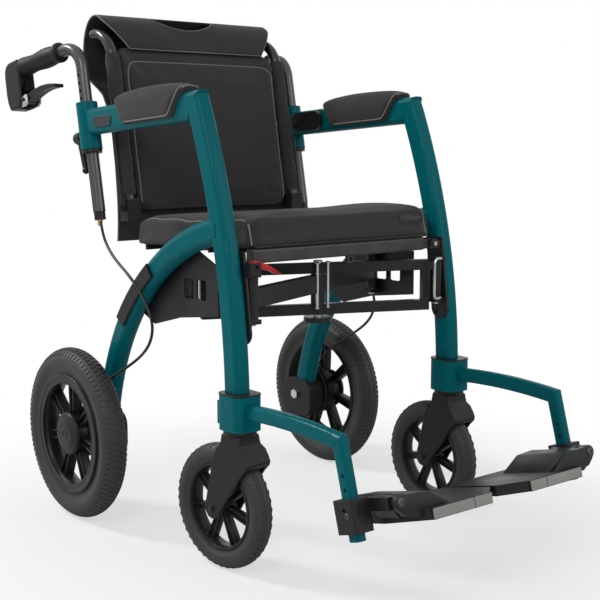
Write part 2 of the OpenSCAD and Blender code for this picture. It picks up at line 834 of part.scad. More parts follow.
module seat_cushion() {
    color(fabric) sloped() translate([0, seat_y + seat_l / 2, seat_z]) stuffed(
        seat_w, seat_l,
        concat(
            [for (row = cushion_profile) [row[0], row[1] * cushion_h]],
            [for (t = [0.82, 0.66, 0.45, 0.22]) [t, cushion_h + crown * (1 - pow(t, 2.4))]]
        ),
        5, 88
    );
}

// Red lever under the bar's right end that frees the seat
module seat_latch() {
    color(red) translate([-204, -193, latch_z]) {
        difference() {
            union() {
                bar_y(-7.5, 12.5, 7);
                translate([0, -7.5, 0]) rotate([-90, 0, 0]) linear_extrude(20) polygon([
                    [0, -7], [30, -7], [48, -3], [49, 2], [40, 7], [0, 7]
                ]);
            }
            bar_y(-20, 20, 3 + fit);
        }
    }
    color(steel) translate([-204, -193, latch_z]) bar_y(-13, 18, 3);
}

// Backrest: a tube hoop whose posts bend back to a cross bar
module at_post(side) {
    translate([side * post_x0, post_y, post_z]) rotate([-lean, 0, 0]) children();
}

module back_hoop() {
    corner = 18;
    top_y = post_y + post_l * sin(lean) + post_bend * cos(lean);
    top_z = post_z + post_l * cos(lean) + post_bend * (1 - sin(lean));
    color(grey) {
        for (side = [-1, 1]) {
            at_post(side) cylinder(r = post_r, h = post_l);
            translate([side * post_x0, 0, 0])
                sweep_about_x(top_y, top_z - post_bend, post_bend, 90, 180 - lean) circle(post_r);
            translate([side * (post_x0 - corner), top_y, top_z]) rotate([0, 0, side > 0 ? 0 : 90])
                rotate_extrude(angle = 90) translate([corner, 0]) circle(post_r);
        }
        translate([0, top_y + corner, top_z]) bar_x(-post_x0 + corner, post_x0 - corner, post_r);
    }
}

module back_pad() {
    profile = [
        [0.95, 0], [0.985, 0.12], [1, 0.3], [1, 0.55], [0.985, 0.8], [0.95, 1]
    ];
    color(fabric) at_post(0) translate([0, 12, 147]) rotate([90, 0, 0]) stuffed(
        340, 270,
        concat(
            [for (row = profile) [row[0], row[1] * 20]],
            [for (t = [0.84, 0.66, 0.44, 0.22]) [t, 20 + 8 * (1 - t * t)]]
        ),
        3, 72
    );
}

// Fabric sleeves round the posts
module back_sleeves() {
    color(fabric) for (side = [-1, 1]) at_post(side) translate([0, 0, 30]) difference() {
        cylinder(r = 14, h = 222);
        translate([0, 0, -1]) cylinder(r = post_r + gap / 2, h = 224);
    }
}

// Top band: one sheet that folds over the cross bar and hangs down behind the posts
function hood_at(a, inset) = [hood.x + (hood_r.x - inset) * cos(a), hood.y + (hood_r.y - inset) * sin(a)];
module top_band() {
    front_a = 176;
    rear_a = -48;
    tail = [[286, 762], [262, 724], [246, 680], [234, 620], [224, 560], [218, 506]];
    angles = [for (k = [0 : 20]) front_a + (rear_a - front_a) * k / 20];
    color(fabric) difference() {
        across(-hood_w / 2, hood_w / 2) polygon(concat(
            [for (a = angles) hood_at(a, 0)], tail,
            [for (k = [len(tail) - 1 : -1 : 0]) tail[k] - [4, 0]],
            [for (k = [20 : -1 : 0]) hood_at(angles[k], hood_t)]
        ));
        for (side = [-1, 1]) translate([side * 148, hood.x - 80, 832]) rotate([0, side * 38, 0])
            translate([side > 0 ? 0 : -120, 0, -60]) cube([120, 80, 160]);
        translate([-8, hood.x - 40, hood.y + hood_r.y + 117]) bar_y(0, 41, 139);
    }
}

// Steel sockets at the posts' feet, with the rods that hang them from the arms
module back_boxes() {
    color(black) both_sides() {
        difference() {
            translate([post_x0 - 13, post_y - 13, post_z - 22]) cube([26, 26, 40]);
            at_post(1) cylinder(r = post_r + fit, h = 60);
        }
        translate([post_x0 + 13, post_y - 6, post_z - 4]) cube([8, 12, 12]);
        translate([post_x0 + 18.2, post_y, post_z + 4]) rotate([-10, 0, 0]) cylinder(r = 3, h = 134);
    }
}

module arm_hooks() {
    color(black) both_sides() translate([inner_x - 9, 182, 704]) rotate([-arm_slope, 0, 0]) {
        across(0, 9) rounded(88, 36, 17);
        translate([-4, 30, -2]) bar_x(0, 5, 7);
    }
}

// Footrest: a level tube from the socket, mitred to a lower tube with height holes
module foot_frame() {
    translate([side_x, foot_y, foot_z]) children();
}

module footrest_tube() {
    color(frame_teal) difference() {
        union() {
            intersection() {
                translate([side_x, 0, 0]) sweep_about_x(
                    foot_y + foot_reach / 2, foot_z + foot_bow - foot_r, foot_r,
                    90 - foot_fall, 90 + foot_fall + 2, 480
                ) rounded(foot_d + 1, foot_w + 1, 6.5);
                foot_frame() mitre_side(foot_mitre);
            }
            foot_frame() difference() {
                rotate([-foot_lean, 0, 0]) translate([0, 0, -foot_drop]) linear_extrude(foot_drop + 40)
                    rounded(foot_w, foot_d, 6);
                mitre_side(foot_mitre);
            }
        }
        translate([side_x, stem_y, 200]) linear_extrude(100) rounded(socket_w, socket_l, 15);
        foot_frame() rotate([-foot_lean, 0, 0]) for (k = [0 : 2])
            translate([0, -2, -46 - k * 20]) bar_x(-foot_w, foot_w, 3);
    }
}

module footrest_tubes() {
    both_sides() footrest_tube();
}

// Frame of the footplate: the origin on its hinge, Y along the hinge
module at_plate() {
    translate([hinge_x, hinge_y, hinge_z]) rotate([-plate_tilt, 0, 0]) children();
}

module foot_clamp() {
    color(black) {
        difference() {
            foot_frame() rotate([-foot_lean, 0, 0]) translate([0, 0, foot_clamp_z - 23]) difference() {
                linear_extrude(47) rounded(34, 42, 5);
                translate([0, 0, -1]) linear_extrude(49) rounded(foot_w + gap, foot_d + gap, 6);
            }
            foot_frame() rotate([-foot_lean, 0, 0]) translate([0, -2, foot_clamp_z + 10]) bar_x(8, 20, 3);
        }
        at_plate() for (y = [-lug_y - lug_t, lug_y]) {
            translate([0, y, 0]) bar_y(0, lug_t, hinge_r);
            translate([0, y, -hinge_r]) cube([side_x - 17.5 - hinge_x + 1, lug_t, 2 * hinge_r]);
        }
        at_plate() translate([hinge_r + 0.8, -lug_y - lug_t, -hinge_r])
            cube([3, 2 * (lug_y + lug_t), 2 * hinge_r]);
        at_plate() bar_y(-lug_y - lug_t, lug_y + lug_t, pin_r);
    }
}

// Footplate: a moulded tray with a sloping hinge block and ribs below
module footplate() {
    rear = plate_front + plate_l;
    color(black) at_plate() difference() {
        union() {
            translate([-hinge_x, 0, plate_top - plate_t]) linear_extrude(plate_t) polygon([
                [6, plate_front + 32], [42, plate_front], [160, plate_front], [190, plate_front + 62],
                [190, rear - 20], [176, rear], [24, rear], [6, rear - 18]
            ]);
            rotate([90, 0, 0]) translate([0, 0, -lug_y + gap]) linear_extrude(2 * (lug_y - gap)) polygon([
                [-92, plate_top - 2], [-54, 4], [-2, hinge_r], [-2, -hinge_r], [-13, -24], [-92, -24]
            ]);
            for (y = [[-42, -lug_y - lug_t - 1], [lug_y + lug_t + 1, 60]]) translate([0, y[1], 0])
                rotate([90, 0, 0]) linear_extrude(y[1] - y[0]) polygon([
                    [-92, plate_top - 2], [-54, 4], [-14, 8], [-14, -24], [-92, -24]
                ]);
            bar_y(-lug_y + gap, lug_y - gap, hinge_r);
            translate([42 - hinge_x, plate_front - 4, plate_top - plate_t]) cube([118, 6, plate_t]);
        }
        bar_y(-200, 200, pin_r + fit);
        for (x = [0 : 3], y = [0 : 2]) if (x < 3 || y > 0)
            translate([34 + x * 37 - hinge_x, plate_front + 12 + y * 42, plate_top - plate_t - 1])
                cube([33, 38, plate_t - 3]);
    }
}

placed() front_leg();  // front_leg_left
placed() on_side(-1) front_leg();  // front_leg_right
placed() arm_tubes();
placed() rear_arch();  // rear_arch_left
placed() on_side(-1) rear_arch();  // rear_arch_right
placed() handle_clamps();
placed() clamp_bushes();
placed() arm_pad();  // arm_pad_left
placed() on_side(-1) arm_pad();  // arm_pad_right
placed() leg_brackets();
placed() arch_brackets();
placed() brace_arm();
placed() brace_rails();
placed() brace_pins();
placed() axle_blocks();
placed() rear_axles();
placed() brake_plates();
placed() cable_covers();
placed() brake_cable();  // brake_cable_left
placed() on_side(-1) brake_cable();  // brake_cable_right
placed() leg_sockets();
placed() socket_seals();
placed() footrest_tubes();
placed() seat_pivot_pins();
placed() back_hoop();
placed() back_pad();
placed() back_sleeves();
placed() top_band();
placed() back_boxes();
placed() arm_hooks();
placed() seat_bar();
placed() seat_pan();
placed() seat_cushion();
placed() seat_latch();
placed() rear_tyre();  // rear_tyre_left
placed() on_side(-1) rear_tyre();  // rear_tyre_right
placed() rear_rim();  // rear_rim_left
placed() on_side(-1) rear_rim();  // rear_rim_right
placed() at_swivel(1) caster_fork();  // caster_fork_left
placed() at_swivel(-1) caster_fork();  // caster_fork_right
placed() at_swivel(1) caster_tyre();  // caster_tyre_left
placed() at_swivel(-1) caster_tyre();  // caster_tyre_right
placed() at_swivel(1) caster_rim();  // caster_rim_left
placed() at_swivel(-1) caster_rim();  // caster_rim_right
placed() cable_plug();  // cable_plug_left
placed() on_side(-1) cable_plug();  // cable_plug_right
placed() handle_tube();  // handle_tube_left
placed() on_side(-1) handle_tube();  // handle_tube_right
placed() hand_grip();  // hand_grip_left
placed() on_side(-1) hand_grip();  // hand_grip_right
placed() brake_lever();  // brake_lever_left
placed() on_side(-1) brake_lever();  // brake_lever_right
placed() clamp_lever();  // clamp_lever_left
placed() on_side(-1) clamp_lever();  // clamp_lever_right
placed() foot_clamp();  // foot_clamp_left
placed() on_side(-1) foot_clamp();  // foot_clamp_right
placed() footplate();  // footplate_left
placed() on_side(-1) footplate();  // footplate_right
placed() brake_arm();  // brake_arm_left
placed() on_side(-1) brake_arm();  // brake_arm_right
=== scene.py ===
import math
import bmesh
import bpy
from mathutils import Matrix, Vector
from mathutils.bvhtree import BVHTree


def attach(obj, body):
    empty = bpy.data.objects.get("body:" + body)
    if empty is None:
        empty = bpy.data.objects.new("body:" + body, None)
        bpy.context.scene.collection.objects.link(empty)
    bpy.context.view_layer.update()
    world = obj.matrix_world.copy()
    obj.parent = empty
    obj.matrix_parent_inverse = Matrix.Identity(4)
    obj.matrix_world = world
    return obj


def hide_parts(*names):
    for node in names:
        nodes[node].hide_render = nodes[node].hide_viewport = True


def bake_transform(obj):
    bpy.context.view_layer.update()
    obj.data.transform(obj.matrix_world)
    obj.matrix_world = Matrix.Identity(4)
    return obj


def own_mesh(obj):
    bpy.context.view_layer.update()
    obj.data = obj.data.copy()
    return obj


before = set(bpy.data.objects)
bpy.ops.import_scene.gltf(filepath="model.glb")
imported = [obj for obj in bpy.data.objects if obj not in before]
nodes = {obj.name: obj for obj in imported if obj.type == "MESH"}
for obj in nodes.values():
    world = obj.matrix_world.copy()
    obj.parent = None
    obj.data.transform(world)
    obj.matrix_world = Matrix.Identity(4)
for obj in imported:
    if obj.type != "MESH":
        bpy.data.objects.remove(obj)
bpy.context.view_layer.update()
scene = bpy.context.scene
scene.view_settings.view_transform = "Standard"


# Studio floor: a pale matt sheet that turns pure white away from the chair, so that no
# horizon shows. It only keeps the soft shadow under the wheels.
def node(tree, kind, operation=None, **values):
    made = tree.nodes.new("ShaderNode" + kind)
    if operation:
        made.operation = operation
    for socket, value in values.items():
        made.inputs[socket.replace("_", " ")].default_value = value
    return made


def wired(tree, *links):
    for source, output, target, socket in links:
        tree.links.new(source.outputs[output], target.inputs[socket])


def surface(name, colour, rough, grain, depth, metal=0.0, drift=0.12, spread=0.07, cloud=14.0,
            shine=0.12, edge=0.0):
    finish = bpy.data.materials.new(name)
    finish.use_nodes = True
    tree = finish.node_tree
    shader = tree.nodes["Principled BSDF"]
    shader.inputs["Metallic"].default_value = metal
    shader.inputs["Specular IOR Level"].default_value = shine
    place = node(tree, "TexCoord")
    patches = node(tree, "TexNoise", Scale=cloud, Detail=5.0)
    tint = node(tree, "Mix")
    tint.data_type = "RGBA"
    for socket, change in ((6, 1 - drift), (7, 1 + drift)):
        tint.inputs[socket].default_value = (*[c * change for c in colour], 1)
    gloss = node(tree, "MapRange", From_Min=0.35, From_Max=0.65, To_Min=rough - spread,
                 To_Max=rough + spread)
    pores = node(tree, "TexNoise", Scale=grain, Detail=2.0)
    bump = node(tree, "Bump", Strength=0.6, Distance=depth)
    wired(tree, (place, "Object", patches, "Vector"), (place, "Object", pores, "Vector"),
          (patches, "Fac", tint, 0), (patches, "Fac", gloss, "Value"),
          (tint, 2, shader, "Base Color"), (gloss, "Result", shader, "Roughness"),
          (pores, "Fac", bump, "Height"), (bump, "Normal", shader, "Normal"))
    if edge:
        soft = node(tree, "Bevel", Radius=edge)
        soft.samples = 6
        wired(tree, (soft, "Normal", bump, "Normal"))
    return finish


def as_mesh(bm, name):
    mesh = bpy.data.meshes.new(name)
    bm.to_mesh(mesh)
    bm.free()
    return mesh


def put(name, data):
    thing = bpy.data.objects.new(name, data)
    scene.collection.objects.link(thing)
    return thing


floor_finish = surface("studio_floor", (0.8, 0.8, 0.8), 0.9, 40, 0.0001, drift=0.004)
tree = floor_finish.node_tree
place = node(tree, "TexCoord")
reach = node(tree, "VectorMath", "LENGTH")
fade = node(tree, "MapRange", From_Min=0.34, From_Max=0.98, To_Min=0.6)
fade.interpolation_type = "SMOOTHSTEP"
glow = node(tree, "Emission")
blendin = node(tree, "MixShader")
path = node(tree, "LightPath")
shown = node(tree, "Math", "MULTIPLY")
wired(tree, (place, "Object", reach, 0), (reach, "Value", fade, "Value"),
      (fade, "Result", shown, 0), (path, "Is Camera Ray", shown, 1),
      (shown, "Value", blendin, "Fac"), (tree.nodes["Principled BSDF"], "BSDF", blendin, 1),
      (glow, "Emission", blendin, 2),
      (blendin, "Shader", tree.nodes["Material Output"], "Surface"))
bm = bmesh.new()
bmesh.ops.create_grid(bm, x_segments=4, y_segments=4, size=20)
floor = put("studio_floor", as_mesh(bm, "studio_floor"))
floor.data.materials.append(floor_finish)

# Studio air and lamps: white behind the chair for the eye and for reflections, dimmer as
# light on it, with a large soft lamp at each front corner and a small one above the back.
air = bpy.data.worlds.new("studio_air")
scene.world = air
air.use_nodes = True
tree = air.node_tree
tree.nodes.clear()
white = (1, 1, 1, 1)
path = node(tree, "LightPath")
seen = node(tree, "Math", "MAXIMUM")
mirrored = node(tree, "Math", "MAXIMUM")
behind = node(tree, "Background", Color=white, Strength=1.0)
lit = node(tree, "Background", Color=white, Strength=0.36)
either = node(tree, "MixShader")
out = node(tree, "OutputWorld")
wired(tree, (path, "Is Camera Ray", seen, 0), (path, "Is Glossy Ray", mirrored, 0),
      (path, "Is Transmission Ray", mirrored, 1), (mirrored, "Value", seen, 1),
      (seen, "Value", either, "Fac"), (lit, "Background", either, 1),
      (behind, "Background", either, 2), (either, "Shader", out, "Surface"))
seat_height = Vector((0, 0, 0.45))
for name, at, power, size in (
    ("lamp_near", (-2.4, -1.5, 2.4), 29, 1.6),
    ("lamp_front", (1.0, -2.9, 1.8), 25, 1.6),
    ("lamp_over", (-1.5, 1.9, 2.4), 54, 0.5),
):
    lamp = bpy.data.lights.new(name, "AREA")
    lamp.energy = power
    lamp.size = size
    stand = put(name, lamp)
    stand.location = at
    stand.rotation_euler = (seat_height - Vector(at)).to_track_quat("-Z", "Y").to_euler()

# Camera: a short telephoto at arm-rest height, off the sitter's right front corner and
# tipped a little downwards.
eye = bpy.data.cameras.new("photo_view")
eye.lens = 69.27
eye.sensor_width = 36
eye.clip_start = 0.05
view = put("photo_view", eye)
view.location = (-1.2461, -1.5760, 0.6679)
view.rotation_euler = (math.radians(82.115), 0, math.radians(-39.04))
scene.camera = view


# Side frames: bent oval aluminium tube in a teal powder coat with a clear top coat.
# The leg and arm meet in a mitred weld, and the arch is saddled onto the leg.
def dress(finish, *names):
    for name in names:
        nodes[name].data.materials.clear()
        nodes[name].data.materials.append(finish)


paint = surface("teal_paint", (0.0, 0.108, 0.126), 0.30, 900, 0.00003, drift=0.08, cloud=7,
                shine=0.05, edge=0.0015)
top_coat = paint.node_tree.nodes["Principled BSDF"].inputs
top_coat["Coat Weight"].default_value = 0.035
top_coat["Coat Roughness"].default_value = 0.16
dress(paint, "front_leg_left", "front_leg_right", "arm_tubes", "rear_arch_left",
      "rear_arch_right", "handle_clamps", "leg_sockets", "footrest_tubes")

# Moulded black fittings: glass-filled nylon with a fine spark-eroded grain, screwed or
# clipped to the tubes.
nylon = surface("black_nylon", (0.013, 0.013, 0.014), 0.38, 1500, 0.00005, drift=0.18,
                shine=0.22, edge=0.0018)
dress(nylon, "axle_blocks", "brake_plates", "cable_covers", "socket_seals", "clamp_bushes",
      "arm_hooks", "clamp_lever_left", "clamp_lever_right", "cable_plug_left",
      "cable_plug_right", "foot_clamp_left", "foot_clamp_right", "footplate_left",
      "footplate_right", "brake_lever_left", "brake_lever_right", "seat_pan")

# Brackets and brace: pressed and welded steel in a satin black coat, bolted to the legs and
# arches under the seat.
black_coat = surface("black_coat", (0.015, 0.015, 0.016), 0.34, 800, 0.00004, drift=0.2,
                     shine=0.24, edge=0.0012)
dress(black_coat, "leg_brackets", "arch_brackets", "brace_arm", "brace_rails", "back_boxes")

# Bright steel: axles, pins and brake arms, turned or pressed, zinc plated and pushed into
# their bores.
zinc = surface("zinc_plate", (0.56, 0.57, 0.58), 0.3, 260, 0.00003, metal=1.0, drift=0.1,
               spread=0.1, cloud=60)
dress(zinc, "rear_axles", "brace_pins", "seat_pivot_pins", "brake_arm_left", "brake_arm_right")

# Handle stems: drawn tube with a dark grey satin anodised skin, bent back into the grips and
# sliding in the clamps on the arms.
satin = surface("dark_anodised", (0.075, 0.074, 0.079), 0.30, 500, 0.00002, metal=0.55,
                drift=0.1, shine=0.3)
dress(satin, "handle_tube_left", "handle_tube_right")

# Backrest hoop: bent steel tube in a smooth gloss black coat, pinned into the two boxes at
# its feet.
gloss_black = surface("gloss_black", (0.016, 0.016, 0.017), 0.16, 500, 0.00001, drift=0.12,
                      spread=0.05, shine=0.4)
dress(gloss_black, "back_hoop")

# Seat bar: extruded aluminium with a brown-grey anodised skin, carrying the front edge of the seat
# pan.
# Its colour is painted in strong light and dark patches that stand in for reflections along the
# bar.
bar_skin = surface("grey_anodised", (0.058, 0.055, 0.051), 0.36, 300, 0.00003, metal=0.3,
                   drift=0.3, cloud=30, shine=0.25, edge=0.0015)
dress(bar_skin, "seat_bar")

# Rear tyres: solid grey-black rubber with a plain side wall and rows of square tread
# blocks, stretched onto the moulded wheel.
sides = ((1, "left"), (-1, "right"))


def shift(x, y, z):
    return Matrix.Translation((x, y, z))


def turn(angle, axis):
    return Matrix.Rotation(math.radians(angle), 4, axis)


def sized(x, y, z):
    return Matrix.Diagonal((x, y, z, 1))


def rear_hub(side, out=0.291):
    return shift(side * out, 0.235, 0.152)


def set_on(bm, name, finish, body, stands_for=(), sharp=35):
    bmesh.ops.remove_doubles(bm, verts=bm.verts, dist=0.00001)
    bmesh.ops.recalc_face_normals(bm, faces=bm.faces)
    mesh = as_mesh(bm, name)
    mesh.materials.append(finish)
    mesh.shade_smooth()
    mesh.set_sharp_from_angle(angle=math.radians(sharp))
    piece = put(name, mesh)
    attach(piece, body)
    if stands_for:
        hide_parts(*stands_for)
    return piece


def turned(bm, profile, where, steps=96):
    made = [bm.verts.new(where @ Vector((along, 0, radius))) for radius, along in profile]
    edges = [bm.edges.new(pair) for pair in zip(made, made[1:])]
    axis = where.to_3x3() @ Vector((1, 0, 0))
    bmesh.ops.spin(bm, geom=made + edges, cent=where.translation, axis=axis, angle=math.tau,
                   steps=steps, use_merge=True)


def tread_block(bm, hub, where, taper):
    level = hub.inverted()
    made = bmesh.ops.create_cube(bm, size=1, matrix=where)["verts"]
    top = sorted(made, key=lambda v: -(level @ v.co).yz.length)[:4]
    middle = sum((v.co for v in top), Vector()) / 4
    bmesh.ops.scale(bm, vec=(taper, taper, taper), verts=top, space=Matrix.Translation(-middle))


rubber = surface("tyre_rubber", (0.035, 0.035, 0.036), 0.55, 700, 0.00006, drift=0.14, shine=0.3)
tread_middle, tyre_half, row_blocks = 0.1275, 0.0234, 92
rear_bead = [(0.106, -0.0165), (0.112, -0.0172), (0.116, -0.0182), (0.120, -0.0205),
             (0.126, -0.0230)]
for side, name in sides:
    hub = rear_hub(side)
    bm = bmesh.new()
    section = rear_bead + [(tread_middle + 0.0232 * math.sin(math.radians(a)),
                            tyre_half * -math.cos(math.radians(a))) for a in range(10, 171, 10)]
    section += [(r, -w) for r, w in reversed(rear_bead)]
    turned(bm, section + section[:1], hub)
    for row, lift in ((-0.0165, 0.0), (-0.0057, 0.5), (0.0057, 0.0), (0.0165, 0.5)):
        tilt = Matrix.Rotation(math.asin(row / tyre_half), 4, "Y")
        for k in range(row_blocks):
            where = (hub @ Matrix.Rotation(math.tau * (k + lift) / row_blocks, 4, "X")
                     @ shift(0, 0, tread_middle) @ tilt @ shift(0, 0, 0.0230)
                     @ sized(0.0088, 0.0072, 0.0028))
            tread_block(bm, hub, where, 0.84)
    set_on(bm, "rear_tread_" + name, rubber, "rear_wheel_" + name, ["rear_tyre_" + name])


# Front tyres: the same rubber in a narrower section, with fine grooves round the crown and
# a row of low slanted lugs on each shoulder.
def caster_stem(side):
    return shift(side * 0.230, -0.177, 0) @ turn(7 if side < 0 else 0, "Z")


def front_hub(side):
    return caster_stem(side) @ shift(0, 0.038, 0.100)


crown_middle, shoulder_lugs = 0.082, 44
front_bead = [(0.070, -0.0125), (0.0718, -0.0130), (0.0738, -0.0140), (0.0762, -0.0158),
              (0.0788, -0.0174)]
for side, name in sides:
    hub = front_hub(side)
    bm = bmesh.new()
    section = list(front_bead)
    for a in range(8, 173, 4):
        groove = 0.0012 if a in (60, 76, 104, 120) else 0.0
        section.append((crown_middle + (0.018 - groove) * math.sin(math.radians(a)),
                        -(0.0178 - groove) * math.cos(math.radians(a))))
    section += [(r, -w) for r, w in reversed(front_bead)]
    turned(bm, section + section[:1], hub)
    for way in (1, -1):
        for k in range(shoulder_lugs):
            where = (hub @ Matrix.Rotation(math.tau * (k + 0.25 * way) / shoulder_lugs, 4, "X")
                     @ shift(0, 0, crown_middle) @ turn(38 * way, "Y") @ shift(0, 0, 0.0175)
                     @ turn(28 * way, "Z") @ sized(0.0090, 0.0050, 0.0020))
            tread_block(bm, hub, where, 0.8)
    set_on(bm, "front_tread_" + name, rubber, "caster_wheel_" + name,
           ["caster_tyre_" + name], 30)


# Wheel centres: moulded in one with their hubs, with seven channelled spokes and a rim that
# thins towards the middle. The rear ones carry the brake drum on the inside.
def outward(side):
    return turn(90 - 90 * side, "Z")


def eased(bm, edges, offset, segments=2):
    bmesh.ops.bevel(bm, geom=edges, offset=offset, segments=segments, profile=0.5,
                    affect="EDGES", material=-1)


def ribbed_spokes(bm, hub, low, high, broad, deep, wall, spokes=7):
    middle, reach = (low + high) / 2, high - low
    shapes = [sized(deep * 0.4, broad, reach)]
    for way in (1, -1):
        shapes.append(shift(0, way * broad * 0.5, 0) @ turn(-2.6 * way, "X")
                      @ sized(deep, wall, reach))
    for k in range(spokes):
        spoke = hub @ Matrix.Rotation(math.tau * k / spokes, 4, "X") @ shift(0, 0, middle)
        for shape in shapes:
            made = bmesh.ops.create_cube(bm, size=1, matrix=spoke @ shape)["verts"]
            eased(bm, list({e for v in made for e in v.link_edges}), 0.0008)


rear_rim = [
    (0.1062, -0.0165), (0.1062, 0.0165), (0.1045, 0.0190), (0.1000, 0.0190), (0.0972, 0.0140),
    (0.0945, 0.0105), (0.0932, 0.0070), (0.0932, -0.0070), (0.0945, -0.0105), (0.0972, -0.0140),
    (0.1000, -0.0190), (0.1045, -0.0190),
]
brake_drum = [
    (0.0068, -0.0300), (0.0425, -0.0300), (0.0455, -0.0285), (0.0458, -0.0105),
    (0.0440, -0.0085), (0.0340, -0.0080), (0.0330, 0.0125), (0.0310, 0.0140), (0.0068, 0.0140),
]
front_rim = [
    (0.0702, -0.0125), (0.0702, 0.0125), (0.0685, 0.0142), (0.0655, 0.0138), (0.0632, 0.0100),
    (0.0622, 0.0055), (0.0622, -0.0055), (0.0632, -0.0100), (0.0655, -0.0138), (0.0685, -0.0142),
]
front_boss = [
    (0.0066, -0.0168), (0.0120, -0.0168), (0.0140, -0.0152), (0.0150, -0.0090),
    (0.0150, 0.0090), (0.0140, 0.0152), (0.0120, 0.0168), (0.0066, 0.0168),
]
for side, name in sides:
    hub = rear_hub(side) @ outward(side)
    bm = bmesh.new()
    turned(bm, rear_rim + rear_rim[:1], hub, 120)
    turned(bm, brake_drum + brake_drum[:1], hub, 72)
    ribbed_spokes(bm, hub, 0.028, 0.0955, 0.0130, 0.0180, 0.0036)
    set_on(bm, "rear_centre_" + name, nylon, "rear_wheel_" + name,
           ["rear_rim_" + name])
    hub = front_hub(side)
    bm = bmesh.new()
    turned(bm, front_rim + front_rim[:1], hub, 96)
    turned(bm, front_boss + front_boss[:1], hub, 48)
    ribbed_spokes(bm, hub, 0.012, 0.0645, 0.0095, 0.0130, 0.0030)
    set_on(bm, "front_centre_" + name, nylon, "caster_wheel_" + name,
           ["caster_rim_" + name])


# Caster forks: one nylon moulding, a square neck under the socket that spreads into a hood
# and two flat side plates. The wheel's slot is hollowed out of it.
def settled(piece):
    depsgraph = bpy.context.evaluated_depsgraph_get()
    return bpy.data.meshes.new_from_object(piece.evaluated_get(depsgraph))


def hollowed(piece, tool_bm, own_walls=False):
    bmesh.ops.recalc_face_normals(tool_bm, faces=tool_bm.faces)
    tool = put("tool", as_mesh(tool_bm, "tool"))
    cut = piece.modifiers.new("cut", "BOOLEAN")
    cut.object = tool
    cut.solver = "EXACT"
    cut.use_self = own_walls
    bpy.context.view_layer.update()
    piece.data = settled(piece)
    piece.modifiers.clear()
    bpy.data.objects.remove(tool)


def carved(piece, tool_bm, rounding):
    hollowed(piece, tool_bm)
    round_off = piece.modifiers.new("round_off", "BEVEL")
    round_off.limit_method = "ANGLE"
    round_off.angle_limit = math.radians(32)
    round_off.width = rounding
    round_off.segments = 3


def slab(bm, outline, thickness, where):
    made = [bm.verts.new((-thickness / 2, *p)) for p in outline]
    face = bm.faces.new(made)
    grown = bmesh.ops.extrude_face_region(bm, geom=[face])["geom"]
    grown = [g for g in grown if isinstance(g, bmesh.types.BMVert)]
    bmesh.ops.translate(bm, vec=(thickness, 0, 0), verts=grown)
    bmesh.ops.transform(bm, matrix=where, verts=made + grown)
    return made + grown


def rod(bm, radius, depth, where, segments=32, far=None):
    return bmesh.ops.create_cone(bm, cap_ends=True, segments=segments, radius1=radius,
                                 radius2=far or radius, depth=depth, matrix=where)["verts"]


def corners(bm, angle=1.0):
    return [e for e in bm.edges if e.calc_face_angle(0) > angle]


fork_outline = [
    (0.021, 0.222), (0.021, 0.207), (0.027, 0.197), (0.036, 0.180), (0.0535, 0.106),
    (0.0545, 0.100), (0.0525, 0.0925), (0.0465, 0.0858), (0.038, 0.0835), (0.0295, 0.0858),
    (0.0235, 0.0925), (0.019, 0.100), (-0.030, 0.166), (-0.0388, 0.1745), (-0.0410, 0.181),
    (-0.0370, 0.190), (-0.0285, 0.199), (-0.022, 0.207), (-0.021, 0.222),
]
neck_start, neck_end = 0.203, 0.212
for side, name in sides:
    axle = front_hub(side) @ turn(90, "Y")
    bm = bmesh.new()
    for v in slab(bm, fork_outline, 0.052, Matrix.Identity(4)):
        up_neck = (v.co.z - neck_start) / (neck_end - neck_start)
        v.co.x *= 1 - 0.23 * min(max(up_neck, 0), 1)
    bmesh.ops.transform(bm, matrix=caster_stem(side), verts=bm.verts)
    fork = set_on(bm, "fork_" + name, nylon, "caster_fork_" + name,
                  ["caster_fork_" + name], 40)
    wheel_room = bmesh.new()
    rod(wheel_room, 0.104, 0.042, axle, 96)
    carved(fork, wheel_room, 0.0022)
    bm = bmesh.new()
    rod(bm, 0.0095, 0.054, caster_stem(side) @ shift(0, 0, 0.248))
    rod(bm, 0.006, 0.044, axle)
    eased(bm, corners(bm), 0.0008)
    set_on(bm, "fork_pins_" + name, zinc, "caster_fork_" + name)

# Tyre valves: a short turned brass stem with its screwed cap, pushed through each rear rim
# between two spokes.
brass = surface("brass", (0.55, 0.40, 0.16), 0.32, 400, 0.00002, metal=1.0)
for side, name in sides:
    bm = bmesh.new()
    turned(bm, [(0.0001, -0.012), (0.0022, -0.012), (0.0034, -0.010), (0.0034, -0.002),
                (0.0026, -0.002), (0.0026, 0.0)],
           rear_hub(side, 0.297) @ turn(30, "X") @ shift(0, 0, 0.0985) @ turn(-90, "Y"), 20)
    set_on(bm, "valve_" + name, brass, "rear_wheel_" + name)

# Hub caps and rim lips: a domed snap-in cap moulded in one with a ring round the axle, and
# the rolled edge that holds the tyre's bead on the wheel's outer face.
cap_profile = [
    (0.0375, 0.0125), (0.0385, 0.0128), (0.0385, 0.0168), (0.0366, 0.0194), (0.0315, 0.0217),
    (0.0302, 0.0214), (0.0290, 0.0222), (0.0222, 0.0240), (0.0150, 0.0249), (0.0138, 0.0244),
    (0.0126, 0.0250), (0.0068, 0.0253), (0.0060, 0.0243), (0.0001, 0.0243),
]
lip = [
    (0.0898, 0.0186), (0.0898, 0.0197), (0.0922, 0.0204), (0.0950, 0.0197), (0.0985, 0.0197),
    (0.1010, 0.0209), (0.1042, 0.0213), (0.1066, 0.0205), (0.1072, 0.0190), (0.1066, 0.0180),
]
for side, name in sides:
    hub = rear_hub(side) @ outward(side)
    bm = bmesh.new()
    turned(bm, cap_profile, hub, 72)
    set_on(bm, "hub_cap_" + name, nylon, "rear_wheel_" + name, sharp=40)
    bm = bmesh.new()
    turned(bm, lip + lip[:1], hub, 120)
    set_on(bm, "rim_lip_" + name, nylon, "rear_wheel_" + name, sharp=50)

